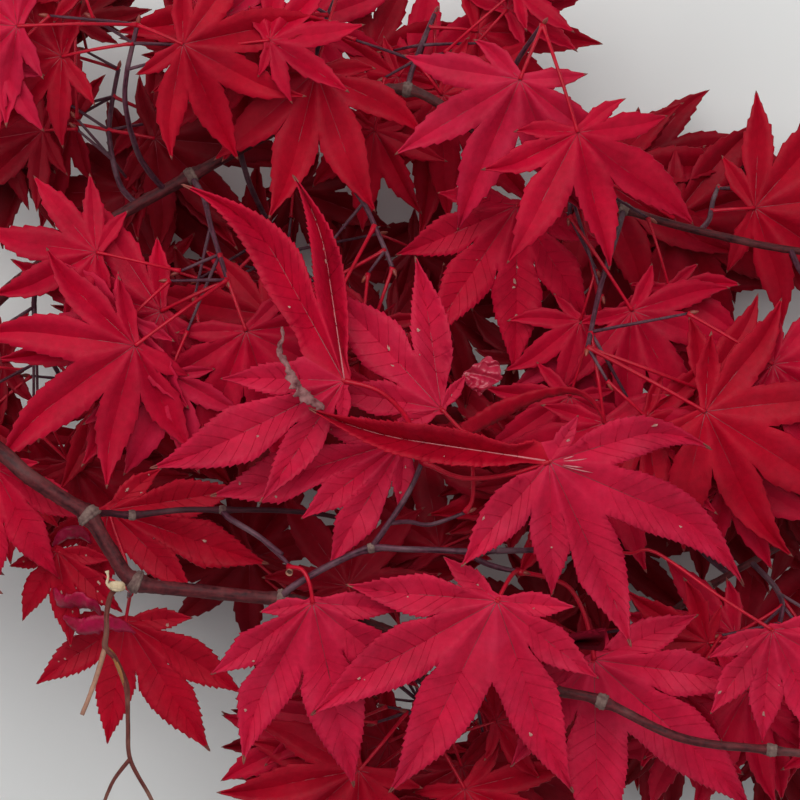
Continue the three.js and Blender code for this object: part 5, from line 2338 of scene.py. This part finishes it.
def new_material(name: str, roughness: float
                 ) -> tuple[bpy.types.Material, Sketch, bpy.types.Node]:
    """A material with only a Principled shader, its sketch and the shader.

    Args:
        name: its name.
        roughness: the shader's roughness.
    Returns:
        The three of them.
    """
    material = bpy.data.materials.new(name)
    material.use_nodes = True
    shader = material.node_tree.nodes["Principled BSDF"]
    shader.inputs["Roughness"].default_value = roughness
    return material, Sketch(material.node_tree), shader


@dataclass(frozen=True)
class LeafFinish:
    """A satin leaf with mottled colour and a painted sheen: lighter, pinker patches that stand in for the
    soft reflection of the light.
    """

    name: str
    colour: Colour
    roughness: float = 0.52
    light: float = 1.2
    dark: float = 0.74
    painted_sheen: float = 0.3
    bump: float = 0.4

    def material(self, groups: dict[str, bpy.types.NodeTree]) -> bpy.types.Material:
        """Builds the material from the shared groups.

        Args:
            groups: the shared node groups by name.
        Returns:
            The material.
        """
        material, sketch, shader = new_material(self.name, self.roughness)
        place = sketch.place()
        mottle = sketch.group(groups["mottle"], Vector=place, Slow=70.0, Fine=600.0, Share=0.35)
        span = sketch.remap(mottle.outputs["Factor"], (0.32, 0.68), (0.0, 1.0))
        colour = sketch.mix(span, solid_colour(self.colour, self.dark),
                            solid_colour(self.colour, self.light))
        # Painted sheen: noise patches turn the colour lighter and pinker, where the soft reflection of the
        # light would show.
        painted_sheen = sketch.remap(sketch.noise(place, 110, 4), (0.5, 0.72), (0.0, self.painted_sheen))
        red, green, blue = self.colour
        colour = sketch.mix(painted_sheen, colour, (red * 1.22, green + 0.018, blue + 0.038, 1.0))
        fine = sketch.noise(place, 1300, 3)
        quilted = sketch.noise(place, 420, 2)
        height = sketch.math("ADD", fine, sketch.math("MULTIPLY", quilted, 2.0))
        rough = sketch.remap(fine, (0.3, 0.7), (self.roughness - 0.06, self.roughness + 0.08))
        sketch.feed(shader, Base_Color=colour, Normal=sketch.bump(height, self.bump, 0.00012),
                    Roughness=rough, Specular_IOR_Level=0.1)
        return material


@dataclass(frozen=True)
class PlainFinish:
    """A finish with mottled colour and fine grain, for stalks, ribs, buds, husk and flecks."""

    name: str
    colour: Colour
    second: Colour
    roughness: float
    slow: float = 90
    fine: float = 900
    bump: float = 0.35
    depth: float = 0.0002
    coat: float = 0.0
    specular: float = 0.5

    def material(self, groups: dict[str, bpy.types.NodeTree]) -> bpy.types.Material:
        """Builds the material from the shared groups.

        Args:
            groups: the shared node groups by name.
        Returns:
            The material.
        """
        material, sketch, shader = new_material(self.name, self.roughness)
        mottle = sketch.group(groups["mottle"], Vector=sketch.place(), Slow=self.slow, Fine=self.fine,
                              Share=0.45).outputs["Factor"]
        span = sketch.remap(mottle, (0.35, 0.65), (0.0, 1.0))
        colour = sketch.mix(span, solid_colour(self.colour), solid_colour(self.second))
        sketch.feed(shader, Base_Color=colour, Normal=sketch.bump(mottle, self.bump, self.depth),
                    Specular_IOR_Level=self.specular, Coat_Weight=self.coat, Coat_Roughness=0.2)
        return material


@dataclass(frozen=True)
class BarkFinish:
    """Streaked bark with paler ridges and a grey film, for limbs and twigs."""

    name: str
    deep: Colour
    ridge: Colour
    film: Colour
    film_share: float
    roughness: float = 0.62
    bump: float = 0.7

    def material(self, groups: dict[str, bpy.types.NodeTree]) -> bpy.types.Material:
        """Builds the material from the shared groups.

        Args:
            groups: the shared node groups by name.
        Returns:
            The material.
        """
        material, sketch, shader = new_material(self.name, self.roughness)
        place = sketch.place()
        surface = sketch.add("ShaderNodeUVMap", uv_map="surface").outputs["UV"]
        streaks = sketch.group(groups["streaks"], Vector=surface, Object=place, Around=9.0, Along=130.0)
        span = sketch.remap(streaks.outputs["Factor"], (0.36, 0.66), (0.0, 1.0))
        colour = sketch.mix(span, solid_colour(self.deep), solid_colour(self.ridge))
        film = sketch.remap(sketch.noise(place, 95, 5), (0.5, 0.66), (0.0, self.film_share))
        colour = sketch.mix(film, colour, solid_colour(self.film))
        rough = sketch.remap(streaks.outputs["Factor"], (0.3, 0.7),
                             (self.roughness - 0.12, self.roughness + 0.12))
        bump = sketch.bump(streaks.outputs["Height"], self.bump, 0.0004)
        sketch.feed(shader, Base_Color=colour, Normal=bump, Roughness=rough, Specular_IOR_Level=0.2)
        return material


class Looks:
    """Every material of the branch, built once."""

    def __init__(self) -> None:
        """Builds the shared groups and the materials."""
        self.groups = {"mottle": mottle_group(), "streaks": streak_group()}
        # The painted sheen is strongest on the rose leaves, the foremost and best lit ones.
        self.leaves = {
            tint: self.made(LeafFinish(f"leaf_{tint.name.lower()}", tint.value,
                                       painted_sheen=0.3 if tint == Tint.ROSE else 0.12))
            for tint in Tint
        }
        self.rib = self.made(PlainFinish("midrib", (0.17, 0.003, 0.014), (0.24, 0.006, 0.020), 0.45))
        # The curled lobes are dark red with a magenta cast; the magenta cast is a painted reflection of the
        # light on their glossy curls.
        self.curled = self.made(PlainFinish(
            "curled_red_painted_reflection", (0.38, 0.002, 0.048), (0.20, 0.001, 0.016), 0.42, specular=0.2))
        self.stalk = self.made(PlainFinish(
            "stalk", (0.50, 0.001, 0.020), (0.32, 0.001, 0.012), 0.38, coat=0.04, specular=0.2))
        self.bud = self.made(PlainFinish("bud", (0.15, 0.01, 0.012), (0.30, 0.05, 0.025), 0.5))
        self.dry_tip = self.made(PlainFinish("dry_tip", (0.26, 0.07, 0.045), (0.17, 0.02, 0.02), 0.7))
        self.husk = self.made(PlainFinish(
            "husk", (0.66, 0.54, 0.36), (0.44, 0.31, 0.18), 0.85, bump=0.8))
        self.fleck = self.made(PlainFinish("fleck", (0.44, 0.24, 0.19), (0.30, 0.11, 0.10), 0.8))
        self.tan = self.made(PlainFinish(
            "bare_wood", (0.36, 0.18, 0.115), (0.22, 0.09, 0.06), 0.8, bump=0.7))
        self.amber = self.made(PlainFinish(
            "amber_wood", (0.30, 0.12, 0.025), (0.17, 0.05, 0.015), 0.6, bump=0.6))
        # The pale finish serves the torn crease, and the midribs of steeply folded lobes, where it is a
        # painted highlight.
        self.pale = self.made(PlainFinish("pale_crease_and_rib_highlight", (0.56, 0.20, 0.21), (0.46, 0.09, 0.11), 0.5))
        self.withered = self.made(PlainFinish(
            "withered", (0.32, 0.14, 0.135), (0.13, 0.022, 0.028), 0.85, slow=420, bump=0.8))
        self.glossy = self.made(PlainFinish(
            "glossy_red", (0.42, 0.010, 0.045), (0.34, 0.003, 0.022), 0.36, coat=0.15))
        # Near black, for the painted shade inside the cut stub's hollow.
        self.hollow = self.made(PlainFinish("hollow", (0.05, 0.012, 0.010), (0.10, 0.03, 0.02), 0.9))
        self.ring = self.made(PlainFinish(
            "ring_scar", (0.22, 0.14, 0.115), (0.075, 0.03, 0.03), 0.9, slow=300, bump=0.9, depth=0.0004))
        self.bark = self.made(BarkFinish(
            "limb_bark", (0.022, 0.002, 0.004), (0.13, 0.017, 0.021), (0.21, 0.085, 0.080), 0.27, bump=0.9))
        self.dark = self.made(BarkFinish(
            "dark_bark", (0.016, 0.002, 0.005), (0.070, 0.008, 0.016), (0.13, 0.045, 0.05), 0.25))
        self.twig = self.made(BarkFinish(
            "twig_bark", (0.020, 0.003, 0.008), (0.125, 0.033, 0.056), (0.24, 0.14, 0.16), 0.3, 0.4))
        self.dead = self.made(BarkFinish(
            "dead_bark", (0.07, 0.012, 0.010), (0.17, 0.045, 0.035), (0.30, 0.17, 0.12), 0.35, 0.8))

    def made(self, finish: LeafFinish | PlainFinish | BarkFinish) -> bpy.types.Material:
        """The material of a finish."""
        return finish.material(self.groups)


@dataclass
class Studio:
    """A plain pale floor, soft light from the picture's upper side, and the camera."""

    picture_width: float = 208
    sensor: float = 36
    floor_size: float = 8
    floor_colour: Colour = (0.74, 0.74, 0.72)
    sky: tuple[float, float, float, float] = (0.9, 0.95, 1.0, 1.0)
    sky_strength: float = 0.31
    lights: tuple[tuple[str, Point, float, float], ...] = (
        ("sky_light", (0, 0.6, 1.45), 1.3, 18.5),
        ("side_light", (-0.9, 0.5, 0.9), 0.8, 5),
        ("low_light", (0.6, -0.9, 0.8), 0.9, 2),
    )

    def build(self, place: Place) -> None:
        """Sets up floor, lights, world and camera.

        Args:
            place: the branch's measure in the frame.
        """
        self.floor()
        middle = place.at((0, 0, 0))
        for name, off, size, power in self.lights:
            self.light(name, middle + Vector(off), middle, size, power)
        world = bpy.data.worlds.new("soft_world")
        world.use_nodes = True
        glow = world.node_tree.nodes["Background"].inputs
        glow["Color"].default_value = self.sky
        glow["Strength"].default_value = self.sky_strength
        bpy.context.scene.world = world
        self.camera(place)

    def floor(self) -> None:
        """A plain pale floor at the level that the branch lies on."""
        bm = bmesh.new()
        bmesh.ops.create_grid(bm, x_segments=1, y_segments=1, size=self.floor_size / 2)
        mesh = bpy.data.meshes.new("floor")
        bm.to_mesh(mesh)
        bm.free()
        material, _, shader = new_material("floor", 0.9)
        shader.inputs["Base Color"].default_value = solid_colour(self.floor_colour)
        mesh.materials.append(material)
        floor = bpy.data.objects.new("floor", mesh)
        bpy.context.scene.collection.objects.link(floor)

    def light(self, name: str, at: Vector, to: Vector, size: float, power: float) -> None:
        """One square area light that faces a point.

        Args:
            name: its name.
            at: where it stands.
            to: the point.
            size: the length of a side, in metres.
            power: its power in watts.
        """
        data = bpy.data.lights.new(name, "AREA")
        data.size = size
        data.energy = power
        lamp = bpy.data.objects.new(name, data)
        lamp.location = at
        lamp.rotation_mode = "QUATERNION"
        lamp.rotation_quaternion = (to - at).to_track_quat("-Z", "Y")
        bpy.context.scene.collection.objects.link(lamp)

    def camera(self, place: Place) -> None:
        """A camera that looks straight down on the middle of the picture.

        Args:
            place: the branch's measure in the frame.
        """
        data = bpy.data.cameras.new("camera")
        data.sensor_width = self.sensor
        data.lens = self.sensor * EYE_HEIGHT / self.picture_width
        camera = bpy.data.objects.new("camera", data)
        camera.location = place.at((0, 0, EYE_HEIGHT))
        bpy.context.scene.collection.objects.link(camera)
        bpy.context.scene.camera = camera
        bpy.context.scene.view_settings.view_transform = "Standard"


def main() -> None:
    """Builds the branch piece by piece."""
    logging.basicConfig(level=logging.INFO, format="%(message)s", stream=sys.stdout)
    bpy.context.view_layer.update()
    place = Place()
    LOG.info("measure begins at %s", [round(c / MM, 3) for c in place.start])
    wood = Wood()
    limbs = WoodPieces()
    limbs.register(wood)
    sprays = grow_all(wood)
    LOG.info("leaves: %d", sum(len(spray.leaves) for spray in sprays))
    looks = Looks()
    limbs.build(place, looks)
    DeadWood().build(place, looks)
    sharp = Foliage(lowest=FLOOR_GAP - place.start.z / MM).build(sprays, place, looks)
    Oddments().build(sharp, place, looks)
    Studio().build(place)


if __name__ == "__main__":
    main()
